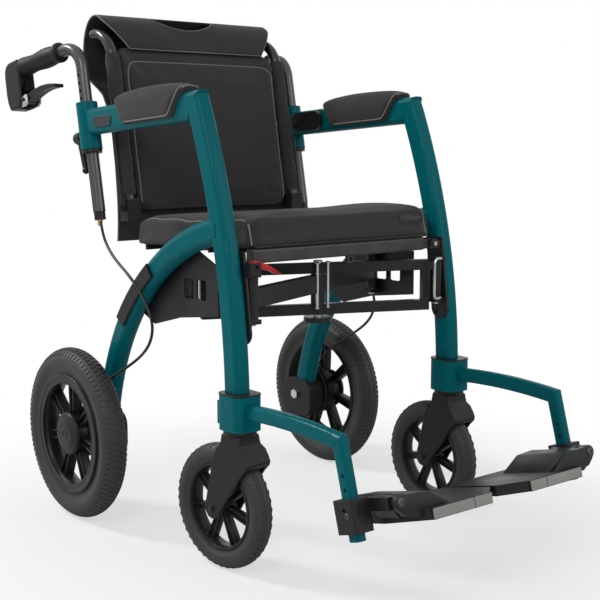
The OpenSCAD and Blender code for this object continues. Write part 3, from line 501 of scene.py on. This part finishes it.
# Front axle bolts: blackened hexagon heads on washers, one on each side of the fork, screwed
# into the ends of the axle.
for side, name in sides:
    bm = bmesh.new()
    for way in (1, -1):
        face = front_hub(side) @ turn(90 * way, "Y")
        rod(bm, 0.0064, 0.0012, face @ shift(0, 0, 0.0266), far=0.0060)
        head = rod(bm, 0.0048, 0.0030, face @ shift(0, 0, 0.0286), 6)
        rim = {e for v in head for e in v.link_edges if len(e.link_faces) == 2}
        eased(bm, list(rim), 0.0006)
    set_on(bm, "front_axle_bolts_" + name, black_coat, "caster_fork_" + name)


# Seat cushion: upholstery foam in a charcoal woven cover, crowned, with its sides drawn in
# between the corners. Two piped seams run from the front edge over the top to the rear.
def woven(name, colour, thread, rough=0.85):
    cloth = surface(name, colour, rough, 240, 0.00012, drift=0.16, cloud=22)
    tree = cloth.node_tree
    shader = tree.nodes["Principled BSDF"]
    shader.inputs["Sheen Weight"].default_value = 0.12
    shader.inputs["Sheen Roughness"].default_value = 0.5
    place = node(tree, "TexCoord")
    split = node(tree, "SeparateXYZ")
    wired(tree, (place, "Object", split, "Vector"))
    ridges = []
    for axis in "XYZ":
        wide = node(tree, "Math", "MULTIPLY")
        wide.inputs[1].default_value = math.tau / thread
        ridges.append(node(tree, "Math", "SINE"))
        wired(tree, (split, axis, wide, 0), (wide, "Value", ridges[-1], 0))
    over = node(tree, "Math", "MULTIPLY")
    under = node(tree, "Math", "MULTIPLY_ADD")
    weave = node(tree, "Bump", Strength=0.5, Distance=thread * 0.16)
    wired(tree, (ridges[0], "Value", over, 0), (ridges[1], "Value", over, 1),
          (ridges[0], "Value", under, 0), (ridges[2], "Value", under, 1),
          (over, "Value", under, 2), (under, "Value", weave, "Height"),
          (tree.nodes["Bump"], "Normal", weave, "Normal"), (weave, "Normal", shader, "Normal"))
    return cloth


def stuffed(bm, name, voxel, rise, held):
    form = put(name, as_mesh(bm, name))
    skin = form.modifiers.new("skin", "REMESH")
    skin.mode = "VOXEL"
    skin.voxel_size = voxel
    form.data = settled(form)
    form.modifiers.clear()
    rest = [v.co.copy() for v in form.data.vertices]
    group = form.vertex_groups.new(name="held")
    group.add([v.index for v in form.data.vertices if held(v.co)], 1.0, "REPLACE")
    cloth = form.modifiers.new("stuffing", "CLOTH")
    cloth.settings.vertex_group_mass = "held"
    cloth.settings.use_pressure = True
    cloth.settings.uniform_pressure_force = 4.0
    cloth.settings.effector_weights.gravity = 0
    for step in range(1, 21):
        scene.frame_set(step)
    swollen = form.evaluated_get(bpy.context.evaluated_depsgraph_get()).data
    moved = [v.co.copy() for v in swollen.vertices]
    scene.frame_set(1)
    form.modifiers.clear()
    form.vertex_groups.clear()
    for v, a, b in zip(form.data.vertices, rest, moved):
        v.co = a + (b - a) * min(1.0, rise / max((b - a).length, 1e-9))
    return form


def upholster(form, finish, body, press, stands_for):
    bm = bmesh.new()
    bm.from_mesh(form.data)
    for k in range(3):
        bmesh.ops.smooth_vert(bm, verts=bm.verts, factor=0.5, use_axis_x=True, use_axis_y=True,
                              use_axis_z=True)
    bm.normal_update()
    for v, inward in [(v, v.normal * press(v.co)) for v in bm.verts]:
        v.co -= inward
    bm.to_mesh(form.data)
    bm.free()
    form.data.materials.clear()
    form.data.materials.append(finish)
    form.data.shade_smooth()
    rounder = form.modifiers.new("rounder", "SUBSURF")
    rounder.levels = 1
    rounder.render_levels = 1
    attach(form, body)
    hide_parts(*stands_for)


def block(size, cuts, shape):
    bm = bmesh.new()
    bmesh.ops.create_cube(bm, size=1)
    bmesh.ops.subdivide_edges(bm, edges=bm.edges, cuts=cuts, use_grid_fill=True)
    for v in bm.verts:
        v.co = shape(v.co * 2)
    bmesh.ops.scale(bm, vec=[s / 2 for s in size], verts=bm.verts)
    return bm


def rounded_corners(x, y, keep):
    reach = (abs(x) ** keep + abs(y) ** keep) ** (1 / keep)
    most = max(abs(x), abs(y))
    return (x * most / reach, y * most / reach) if reach > 1e-6 else (x, y)


charcoal = woven("charcoal_cover", (0.036, 0.035, 0.036), 0.0013)
bottom, seat_middle, seam_x = 0.5030, 0.0062, 0.187
seat_lean = shift(0, -0.151, 0.502) @ turn(-2.7, "X") @ shift(0, 0.151, -0.502)
seat_level = seat_lean.inverted()


def seat_form(p):
    x, y = rounded_corners(p.x, p.y, 18)
    stepped = 0.030 / (1 + math.exp((p.y * 0.17 - 0.024) * 190)) if p.x < 0 else 0.0
    drawn = 0.99 - 0.010 * (1 - p.y ** 2) - stepped
    crown = 0.16 * (1 - x * x) ** 0.7 * (1 - y * y) ** 0.7 - 0.10 * (y + 1)
    crown += 0.26 * math.exp(-((x - 0.68) / 0.38) ** 2 - ((y + 0.48) / 0.42) ** 2)
    sag = 0.12 * math.exp(-(x / 0.5) ** 2 - ((y - 0.1) / 0.45) ** 2)
    return Vector((x * drawn, y * (0.985 - 0.012 * (1 - p.x ** 2)),
                   p.z + max(p.z, 0) * (crown - sag)))


def seat_seam(p):
    if (seat_level @ p).z <= bottom + 0.006:
        return 0.0
    return 0.0028 * math.exp(-((abs(p.x) - seam_x) / 0.0045) ** 2)


bm = block((0.413, 0.339, 0.0465), 26, seat_form)
bmesh.ops.translate(bm, vec=(0, seat_middle, bottom + 0.0235), verts=bm.verts)
bmesh.ops.transform(bm, matrix=seat_lean, verts=bm.verts)
cushion = stuffed(bm, "seat_cover", 0.005, 0.006, lambda p: (seat_level @ p).z < bottom + 0.004)
upholster(cushion, charcoal, "seat", seat_seam, ["seat_cushion"])

# Piping: a thin beige-grey cord sewn into the seams of the seat, arm pads and backrest, so
# that half of it shows.
piping = woven("piping_thread", (0.20, 0.185, 0.155), 0.0009, 0.7)


def sunk(piece, starts, towards, proud):
    bpy.context.view_layer.update()
    tree = BVHTree.FromObject(piece, bpy.context.evaluated_depsgraph_get())
    found = []
    for start, way in zip(starts, towards):
        hit, normal, _, _ = tree.ray_cast(Vector(start), Vector(way).normalized())
        if hit:
            found.append(hit + normal * proud)
    return found


def tube(name, runs, radius, finish, closed=False, fineness=2):
    line = bpy.data.curves.new(name, "CURVE")
    line.dimensions = "3D"
    line.bevel_depth = radius
    line.bevel_resolution = 3
    line.resolution_u = fineness
    line.use_fill_caps = True
    for points in runs:
        run = line.splines.new("NURBS")
        run.points.add(len(points) - 1)
        for spot, p in zip(run.points, points):
            spot.co = (*p, 1)
        run.use_endpoint_u = not closed
        run.use_cyclic_u = closed
        run.order_u = 3
    drawn = put("drawn", line)
    bpy.context.view_layer.update()
    mesh = settled(drawn)
    bpy.data.objects.remove(drawn)
    mesh.materials.clear()
    mesh.materials.append(finish)
    mesh.shade_smooth()
    return put(name, mesh)


def thread(name, runs, radius, finish, body, slot="upholstery", closed=False):
    cord = tube(name, runs, radius, finish, closed)
    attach(cord, body)
    return cord


runs = []
for x in (-seam_x, seam_x):
    front = [(x, -0.4, bottom + 0.004 + 0.041 * k / 6) for k in range(7)]
    top = [(x, -0.158 + 0.330 * k / 30, 0.8) for k in range(31)]
    back = [(x, 0.6, bottom + 0.038 - 0.034 * k / 6) for k in range(7)]
    ways = [(0, 1, 0)] * 7 + [(0, 0, -1)] * 31 + [(0, -1, 0)] * 7
    runs.append(sunk(cushion, [seat_lean @ Vector(p) for p in front + top + back],
                     [seat_lean.to_3x3() @ Vector(w) for w in ways], 0.0006))
seat_seams = thread("seat_piping", runs, 0.0013, piping, "seat")

# Seat patch: a bare oval of smooth dark webbing with a corded edge, sewn onto the left of
# the seat's front face.
patch_skin = surface("patch_webbing", (0.055, 0.054, 0.054), 0.55, 1100, 0.00006, drift=0.15)
patch_x, patch_z, patch_points = 0.153, 0.5285, 56


def squared(x, y):
    return (abs(x) ** 3.2 + abs(y) ** 3.2) ** (1 / 3.2)


bm = bmesh.new()
bmesh.ops.create_circle(bm, cap_ends=True, segments=patch_points, radius=1.0)
for step in range(5):
    bmesh.ops.inset_region(bm, faces=[f for f in bm.faces if len(f.verts) > 4], thickness=0.17,
                           use_even_offset=True)
skin = BVHTree.FromObject(cushion, bpy.context.evaluated_depsgraph_get())
for v in bm.verts:
    oval = squared(v.co.x, v.co.y)
    ease = v.co.length / oval if oval > 1e-6 else 1.0
    spot = seat_lean @ Vector((patch_x + 0.027 * v.co.x * ease, -0.3,
                               patch_z + 0.0092 * v.co.y * ease))
    hit, normal, _, _ = skin.ray_cast(spot, Vector((0, 1, 0)))
    v.co = hit + normal * 0.0006
bmesh.ops.reverse_faces(bm, faces=[f for f in bm.faces if f.normal.y > 0])
patch = set_on(bm, "seat_patch", patch_skin, "seat", sharp=60)
edge = patch.modifiers.new("edge", "SOLIDIFY")
edge.thickness = 0.0012
edge.offset = 1
ring = []
for k in range(patch_points):
    a = math.tau * k / patch_points
    oval = squared(math.cos(a), math.sin(a))
    ring.append(seat_lean @ Vector((patch_x + 0.0275 * math.cos(a) / oval, -0.3,
                                    patch_z + 0.0097 * math.sin(a) / oval)))
patch_edge = thread("seat_patch_edge", [sunk(cushion, ring, [(0, 1, 0)] * len(ring), 0.0008)],
                    0.0009, charcoal, "seat", closed=True)
for soft in (cushion, seat_seams, patch, patch_edge):
    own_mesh(soft)

# Backrest pad: a slim foam panel in the same cover, laced between the posts, with one piped
# line a finger's width inside its edge.
back_place = shift(0, 0.211, 0.547) @ turn(-11, "X")
back_level = back_place.inverted()
panel_middle = 0.146
piped_half, piped_height, piped_corner, piped_middle = 0.1615, 0.135, 0.022, 0.131


def back_form(p):
    x, z = rounded_corners(p.x, p.z, 13)
    crown = 0.62 * (1 - x * x) ** 0.6 * (1 - z * z) ** 0.6 if p.y < 0 else 0.0
    tuck = 2.2 * max((z - 0.78) / 0.22, 0) ** 2
    return Vector((x * (0.99 - 0.008 * (1 - p.z ** 2)), p.y - crown + tuck,
                   z * (0.99 - 0.012 * (1 - p.x ** 2))))


def off_line(p):
    q = back_level @ p
    dx = abs(q.x) - (piped_half - piped_corner)
    dz = abs(q.z - piped_middle) - (piped_height - piped_corner)
    return math.hypot(max(dx, 0), max(dz, 0)) + min(max(dx, dz), 0) - piped_corner


def back_seam(p):
    if (back_level @ p).y >= 0.006:
        return 0.0
    return 0.0022 * math.exp(-(off_line(p) / 0.004) ** 2)


bm = block((0.351, 0.017, 0.306), 24, back_form)
bmesh.ops.transform(bm, matrix=back_place @ shift(0, 0.002, panel_middle), verts=bm.verts)
pad = stuffed(bm, "back_cover", 0.0045, 0.005, lambda p: (back_level @ p).y > 0.008)
upholster(pad, charcoal, "frame", back_seam, ["back_pad"])
ring = []
for k in range(140):
    a = math.tau * k / 140
    lo, hi = 0.0, 0.3
    for step in range(30):
        mid = (lo + hi) / 2
        spot = back_place @ Vector((math.cos(a) * mid, 0, piped_middle + math.sin(a) * mid))
        lo, hi = (mid, hi) if off_line(spot) < 0 else (lo, mid)
    ring.append(back_place @ Vector((math.cos(a) * lo, -0.2, piped_middle + math.sin(a) * lo)))
way = back_place.to_3x3() @ Vector((0, 1, 0))
thread("back_piping", [sunk(pad, ring, [way] * len(ring), 0.0004)], 0.0011, piping, "frame",
       closed=True)

# Post sleeves: tubes of the cover drawn over the backrest's posts, with soft cross wrinkles
# and both ends gathered onto the tube.
sleeve_foot, sleeve_length, sleeve_rings, post_skin = 0.024, 0.254, 44, 0.0099
for side, name in sides:
    where = shift(side * 0.185, 0, 0) @ back_place
    level = where.inverted()
    bm = bmesh.new()
    bmesh.ops.create_circle(bm, segments=36, radius=post_skin,
                            matrix=where @ shift(0, 0, sleeve_foot))
    edges = list(bm.edges)
    for k in range(sleeve_rings + 2):
        grown = bmesh.ops.extrude_edge_only(bm, edges=edges)["geom"]
        made = [g for g in grown if isinstance(g, bmesh.types.BMVert)]
        edges = [g for g in grown
                 if isinstance(g, bmesh.types.BMEdge) and all(v in made for v in g.verts)]
        along = sleeve_foot + sleeve_length * min(k, sleeve_rings) / sleeve_rings
        for v in made:
            q = level @ v.co
            a = math.atan2(q.y, q.x)
            fold = 0.0006 * math.sin(k * 1.9 + 2 * a) + 0.0005 * math.sin(k * 0.7 - 3 * a + side)
            gather = 0.0016 * (math.exp(-k / 1.5) + math.exp((k - sleeve_rings) / 1.5))
            r = 0.0132 + fold - gather
            wide = r * 1.02
            if k > sleeve_rings:
                r = wide = post_skin
            v.co = where @ Vector((wide * math.cos(a), r * math.sin(a), along))
    sleeve = set_on(bm, "post_sleeve_" + name, charcoal, "frame",
                    ["back_sleeves"] if side > 0 else (), 60)

# Top band: one sheet of the cover that starts as a tapered flap in front, folds over the
# cross bar and hangs down behind the posts. A scoop in its front edge is the hand-hold.
crest = (0.320, 0.827)
radii = (0.0435, 0.0645)
tail = [(0.304, 0.762), (0.280, 0.724), (0.263, 0.680), (0.250, 0.620), (0.241, 0.560),
        (0.237, 0.520), (0.236, 0.488)]
band_half, scoop_x, scoop_round = 0.187, -0.008, 0.139
flap_end, fold_end, tail_end, across = 16, 40, 64, 94


def band_at(x, step):
    if step <= flap_end:
        low = math.radians(176)
        dip = (x - scoop_x) / scoop_round
        rim = 1.010 - scoop_round * math.sqrt(1 - dip * dip) if abs(dip) < 1 else 0.9
        high = math.pi - math.asin(min((rim - crest[1]) / radii[1], 1.0))
        high = max(high, math.radians(90))
        a = low + (high - low) * step / flap_end
        z = crest[1] + radii[1] * math.sin(a)
        half = min(band_half, 0.148 + (z - 0.832) * 0.782)
        ahead = 0.012 * (1 - step / flap_end) ** 2
        return Vector((x / band_half * half, crest[0] + radii[0] * math.cos(a) - ahead, z))
    if step <= fold_end:
        a = math.radians(90 - 138 * (step - flap_end - 1) / (fold_end - flap_end - 1))
        return Vector((x, crest[0] + radii[0] * math.cos(a), crest[1] + radii[1] * math.sin(a)))
    down = (step - fold_end) / (tail_end - fold_end)
    t = down * (len(tail) - 1)
    k = min(int(t), len(tail) - 2)
    y, z = [tail[k][i] + (tail[k + 1][i] - tail[k][i]) * (t - k) for i in (0, 1)]
    sag = 0.004 * math.cos(x / band_half * math.pi / 2) * math.sin(math.pi * down)
    spread = 1 + 0.055 * max((step - 46) / 18, 0)
    return Vector((x * spread, y + sag, z))


columns = [-band_half + 2 * band_half * k / across for k in range(across + 1)]
bm = bmesh.new()
made = bmesh.ops.create_grid(bm, x_segments=across, y_segments=tail_end, size=0.5)["verts"]
place_in_cut = {v: (round((v.co.x + 0.5) * across), round((v.co.y + 0.5) * tail_end))
                for v in made}
scooped = [f for f in bm.faces
           if {place_in_cut[v][1] for v in f.verts} == {flap_end, flap_end + 1}
           and all(abs(columns[place_in_cut[v][0]] - scoop_x) < 0.0745 for v in f.verts)]
bmesh.ops.delete(bm, geom=scooped, context="FACES")
for v in bm.verts:
    column, step = place_in_cut[v]
    v.co = band_at(columns[column], step)
bm.normal_update()
flat_area = sum(f.calc_area() for f in bm.faces)
reach = sum((band_at(0.18, k + 1) - band_at(0.18, k)).length for k in range(tail_end))
band = set_on(bm, "band_cover", charcoal, "frame", ["top_band"], 80)
wall = band.modifiers.new("wall", "SOLIDIFY")
wall.thickness = 0.003
wall.offset = 0
runs = [[band_at(x, k) for k in range(flap_end + 1)] for x in (columns[0], columns[-1])]
runs.append([band_at(x, 0) for x in columns[::3]])
runs.append([band_at(x, flap_end) for x in columns if abs(x - scoop_x) < 0.078])
runs += [[band_at(x, k) for k in range(flap_end + 1, tail_end + 1)]
         for x in (columns[0], columns[-1])]
thread("band_piping", runs, 0.0015, piping, "frame")


# Arm pads: foam sleeves in the cover, drawn over the arm and laced under it, with slanted
# ends. A piped line runs up both sides of the front end and over the top.
def arm_place(side):
    return shift(side * 0.230, -0.075, 0.721) @ turn(-3.6, "X")


def pad_form(p):
    t = (p.z + 1) / 2
    front = 0.052 - 0.036 * t
    rear = 0.206 + 0.028 * t
    x, zz = rounded_corners(p.x, p.z, 3.2 if p.z > 0 else 9)
    y = front + (rear - front) * (p.y + 1) / 2
    crown = 0.0035 * (1 - p.y ** 2) if p.z > 0 else 0.0
    rise = 0.0118 + 0.0273 * zz * (1 - 0.22 * abs(p.y) ** 7 * max(p.z, 0))
    return Vector((x * 0.0215, y, rise + crown * max(p.z, 0)))


lower = [(0.194 - 0.128 * k / 12, -0.0108) for k in range(13)]
lower += [(0.0590, -0.0095), (0.0535, -0.0050)]
lower += [(0.0505 - 0.0262 * k / 8, -0.0005 + 0.0330 * k / 8) for k in range(9)]
over_top = [(0.0150 - 0.0300 * k / 8, 0.0210, 0.08) for k in range(9)]
starts = [(0.06, y, z) for y, z in lower] + over_top + [(-0.06, y, z) for y, z in reversed(lower)]
ways = [(-1, 0, 0)] * len(lower) + [(0, 0, -1)] * len(over_top) + [(1, 0, 0)] * len(lower)
for side, name in sides:
    where = arm_place(side)
    level = where.inverted()
    bm = block((2, 2, 2), 18, pad_form)
    bmesh.ops.transform(bm, matrix=where, verts=bm.verts)
    arm = stuffed(bm, "arm_cover_" + name, 0.004, 0.003, lambda p: (level @ p).z < -0.012)
    upholster(arm, charcoal, "frame", lambda p: 0.0, ["arm_pad_" + name])
    core = bmesh.new()
    bmesh.ops.create_cube(core, size=1, matrix=sized(0.0288, 0.40, 0.0468))
    eased(core, [e for e in core.edges if abs((e.verts[0].co - e.verts[1].co).y) > 0.1],
          0.0100, 6)
    bmesh.ops.create_cube(core, size=1, matrix=shift(0, 0, -0.030) @ sized(0.024, 0.40, 0.05))
    bmesh.ops.transform(core, matrix=where @ shift(0, 0.12, 0), verts=core.verts)
    hollowed(arm, core, own_walls=True)
    front = sunk(arm, [where @ Vector(p) for p in starts],
                 [where.to_3x3() @ Vector(w) for w in ways], 0.0004)
    thread("arm_piping_" + name, [front], 0.0012, piping, "frame")

# Arm plates: a bare rounded plate of dark moulded plastic with a sunk face, let into each
# arm's outer side behind the pad.
plate_skin = surface("plate_plastic", (0.030, 0.030, 0.032), 0.5, 1300, 0.00005, drift=0.15,
                     shine=0.25)
for side, name in sides:
    bm = bmesh.new()
    bmesh.ops.create_cube(bm, size=1, matrix=arm_place(side)
                          @ shift(side * 0.0142, 0.2755, -0.0035) @ sized(0.0024, 0.060, 0.0180))
    eased(bm, [e for e in bm.edges if abs((e.verts[0].co - e.verts[1].co).x) > 0.002], 0.0084, 8)
    outer = [f for f in bm.faces if f.normal.x * side > 0.9]
    for thickness, depth in ((0.0006, 0.0004), (0.0014, 0.0), (0.0004, -0.0005)):
        bmesh.ops.inset_region(bm, faces=outer, thickness=thickness, depth=depth,
                               use_even_offset=True)
    set_on(bm, "arm_plate_" + name, plate_skin, "frame", sharp=30)


# Footplate edges: light grey anti-slip strips pressed into the front face of each plate, in
# two lengths with a gap between them.
def plate_hinge(side):
    return shift(side * 0.203, -0.462, 0.178) @ turn(-14, "X")


grey_strip = surface("grey_strip", (0.27, 0.262, 0.25), 0.6, 900, 0.00006, drift=0.14)
for side, name in sides:
    bm = bmesh.new()
    for inner, outer in ((0.0425, 0.0775), (0.0790, 0.1595)):
        middle = side * ((inner + outer) / 2 - 0.203)
        bmesh.ops.create_cube(bm, size=1, matrix=plate_hinge(side)
                              @ shift(middle, -0.0562, -0.0240)
                              @ sized(outer - inner, 0.0022, 0.0146))
    eased(bm, list(bm.edges), 0.0007)
    set_on(bm, "plate_strip_" + name, grey_strip, "footplate_" + name)

# Footplate clamp bolts: a small dark cap screw with a round recess, through the clamp's
# outer wall onto the footrest tube.
bolt_profile = [(0.0046, -0.0006), (0.0046, 0.0004), (0.0038, 0.0007), (0.0034, 0.0018),
                (0.0028, 0.0022), (0.0018, 0.0022), (0.0017, 0.0009), (0.0001, 0.0009)]
for side, name in sides:
    bm = bmesh.new()
    turned(bm, bolt_profile, shift(side * 0.247, -0.445, 0.163) @ outward(side), 36)
    set_on(bm, "clamp_bolt_" + name, satin, "foot_clamp_" + name, sharp=40)

# Footplate hinge walls: the moulded wedge that joins each plate to its hinge, closed over
# the lugs on top, with a round boss for the hinge pin in its front wall.
skin_line = [(-0.092, -0.0165), (-0.052, 0.0062), (-0.0145, 0.0086), (-0.0145, 0.0064),
             (-0.052, 0.0038), (-0.092, -0.0192)]
wall_line = [(-0.092, -0.0165), (-0.052, 0.0062), (-0.012, 0.0088), (0.0, 0.0105),
             (0.0060, 0.0086), (0.0098, 0.0038), (0.0105, 0.0), (0.0092, -0.0050),
             (0.0040, -0.0110), (-0.006, -0.0200), (-0.030, -0.0255), (-0.092, -0.0300)]
wall_front = -0.0436
pin_profile = [(0.0062, 0.0), (0.0062, 0.0008), (0.0052, 0.0012), (0.0034, 0.0012),
               (0.0032, 0.0002), (0.0001, 0.0002)]
for side, name in sides:
    bm = bmesh.new()
    for outline, near, far in ((skin_line, -0.0420, 0.0605), (wall_line, wall_front, -0.0335)):
        slab(bm, [(-side * x, z) for x, z in outline], far - near,
             plate_hinge(side) @ turn(90, "Z") @ shift((near + far) / 2, 0, 0))
    bmesh.ops.recalc_face_normals(bm, faces=bm.faces)
    eased(bm, corners(bm, 0.5), 0.0009)
    set_on(bm, "hinge_wall_" + name, nylon, "footplate_" + name)
    bm = bmesh.new()
    turned(bm, pin_profile, plate_hinge(side) @ shift(0, wall_front, 0) @ turn(-90, "Z"), 32)
    set_on(bm, "hinge_pin_end_" + name, satin, "footplate_" + name)


# Hand grips: soft ribbed rubber pushed onto the handle's tube, thicker at the front collar
# and swelling twice under the hand.
def grip_place(side):
    return (sized(side, 1, 1) @ shift(0.232, 0.268, 0.692) @ turn(-11, "X") @ turn(-8, "Z"))


soft_grip = surface("grip_rubber", (0.016, 0.016, 0.017), 0.5, 900, 0.00009, drift=0.15, shine=0.2)
grip_rings = 54
profile = [(0.0112, 0.0), (0.0168, 0.0), (0.0180, 0.0014), (0.0184, 0.0040), (0.0180, 0.0080)]
for k in range(grip_rings):
    t = k / (grip_rings - 1)
    swell = 0.0168 + 0.0012 * math.sin(math.tau * (t - 0.12) * 1.4)
    profile.append((swell + 0.0004 * math.cos(math.pi * k), 0.0120 + 0.1060 * t))
profile += [(0.0168, 0.1185), (0.0112, 0.1185)]
for side, name in sides:
    bm = bmesh.new()
    turned(bm, profile + profile[:1], grip_place(side) @ shift(0, 0.057, 0.147) @ turn(90, "Z"), 48)
    set_on(bm, "grip_" + name, soft_grip, "handle_" + name, sharp=70)

# Brake housings: a rounded nylon moulding behind each grip, slotted for the lever, with a
# bright pressed plate on each side that carries the lever's pin.
housing_outline = [
    (0.1730, 0.1615), (0.2030, 0.1600), (0.2110, 0.1560), (0.2170, 0.1480), (0.2190, 0.1350),
    (0.2195, 0.1000), (0.2175, 0.0850), (0.2120, 0.0705), (0.1785, 0.0705), (0.1730, 0.0900),
]
cheek_outline = [(0.1730, 0.0900), (0.1590, 0.0920), (0.1560, 0.0860), (0.1570, 0.0760),
                 (0.1640, 0.0710), (0.1780, 0.0710)]
for side, name in sides:
    where = grip_place(side)
    bm = bmesh.new()
    slab(bm, housing_outline, 0.036, where)
    housing = set_on(bm, "brake_housing_" + name, nylon, "handle_" + name,
                     ["hand_grip_" + name], 40)
    lever_room = bmesh.new()
    bmesh.ops.create_cube(lever_room, size=1, matrix=where @ shift(0, 0.173, 0.084)
                          @ sized(0.021, 0.026, 0.034))
    carved(housing, lever_room, 0.0042)
    bm = bmesh.new()
    for way in (1, -1):
        slab(bm, cheek_outline, 0.0030, where @ shift(way * 0.0140, 0, 0))
    bmesh.ops.recalc_face_normals(bm, faces=bm.faces)
    eased(bm, list(bm.edges), 0.0006)
    set_on(bm, "lever_cheeks_" + name, zinc, "handle_" + name)

# Seat latch: a slim curved trigger moulded in red plastic, on its own pin under the right
# end of the seat bar.
red_trigger = surface("red_trigger", (0.56, 0.014, 0.022), 0.35, 1200, 0.00004, drift=0.1,
                      shine=0.3)
trigger_outline = [
    (-0.2070, 0.4810), (-0.2045, 0.4850), (-0.1990, 0.4860), (-0.1900, 0.4838),
    (-0.1780, 0.4796), (-0.1660, 0.4732), (-0.1560, 0.4672), (-0.1500, 0.4636),
    (-0.1510, 0.4622), (-0.1600, 0.4640), (-0.1720, 0.4690), (-0.1850, 0.4726),
    (-0.1980, 0.4744), (-0.2050, 0.4765),
]
bm = bmesh.new()
slab(bm, [(-x, z) for x, z in trigger_outline], 0.012, shift(0, -0.174, 0) @ turn(90, "Z"))
bmesh.ops.recalc_face_normals(bm, faces=bm.faces)
eased(bm, corners(bm), 0.0016, 3)
set_on(bm, "latch_trigger", red_trigger, "latch", ["seat_latch"], 50)

# Brace hardware: two bright pins beside the brace's middle post and a bent wire link on the
# left front post, all zinc plated.
bm = bmesh.new()
for x, y in ((-0.0110, -0.0990), (0.0130, -0.0980)):
    turned(bm, [(0.0001, 0.0), (0.0034, 0.0), (0.0040, 0.0008), (0.0040, 0.0030),
                (0.0027, 0.0034), (0.0027, 0.0766), (0.0040, 0.0770), (0.0040, 0.0792),
                (0.0034, 0.0800), (0.0001, 0.0800)],
           shift(x, y, 0.3855) @ turn(-90, "Y"), 28)
set_on(bm, "brace_bright_pins", zinc, "frame", sharp=40)
link = [(0.202, -0.179, 0.3960), (0.192, -0.183, 0.3950), (0.184, -0.1855, 0.3956),
        (0.1805, -0.1860, 0.4000)]
link += [(0.1800, -0.1860, 0.4000 + 0.060 * k / 5) for k in range(6)]
link += [(0.1805, -0.1860, 0.4604), (0.184, -0.1855, 0.4646), (0.192, -0.183, 0.4652),
         (0.202, -0.179, 0.4642)]
thread("post_link", [link], 0.0025, zinc, "frame", "steel")

# Cable ferrules: a short turned brass tube where each brake cable leaves the plug under the
# handle.
ferrule = [(0.0026, 0.0), (0.0040, 0.0), (0.0045, 0.0008), (0.0045, 0.0060), (0.0038, 0.0068),
           (0.0038, 0.0110), (0.0030, 0.0122), (0.0026, 0.0122)]
for side, name in sides:
    bm = bmesh.new()
    turned(bm, ferrule + ferrule[:1],
           shift(side * 0.232, 0.2362, 0.5295) @ turn(17, "X") @ turn(90, "Y"), 24)
    set_on(bm, "cable_ferrule_" + name, brass, "cable_plug_" + name, sharp=40)

# Brake cables: steel wire in a black plastic sleeve, from the plug under each handle stem,
# under the clip on the arch and down to the stop on the brake plate.
sleeve_skin = surface("cable_sleeve", (0.016, 0.016, 0.017), 0.4, 1400, 0.00003, drift=0.2,
                      shine=0.3)
route = [
    (0.232, 0.235, 0.527), (0.233, 0.229, 0.507), (0.237, 0.206, 0.484), (0.243, 0.172, 0.466),
    (0.247, 0.138, 0.452), (0.249, 0.115, 0.442), (0.249, 0.093, 0.428), (0.249, 0.071, 0.411),
    (0.249, 0.054, 0.392), (0.249, 0.043, 0.374), (0.249, 0.040, 0.355), (0.250, 0.048, 0.333),
    (0.251, 0.068, 0.313), (0.252, 0.098, 0.294), (0.254, 0.131, 0.276), (0.257, 0.165, 0.257),
    (0.260, 0.193, 0.240), (0.261, 0.212, 0.224), (0.261, 0.221, 0.208),
]
for side, name in sides:
    outer = tube("cable_sleeve_" + name, [[(side * x, y, z) for x, y, z in route]], 0.0025,
                 sleeve_skin, fineness=12)
    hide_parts("brake_cable_" + name)
    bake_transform(outer)
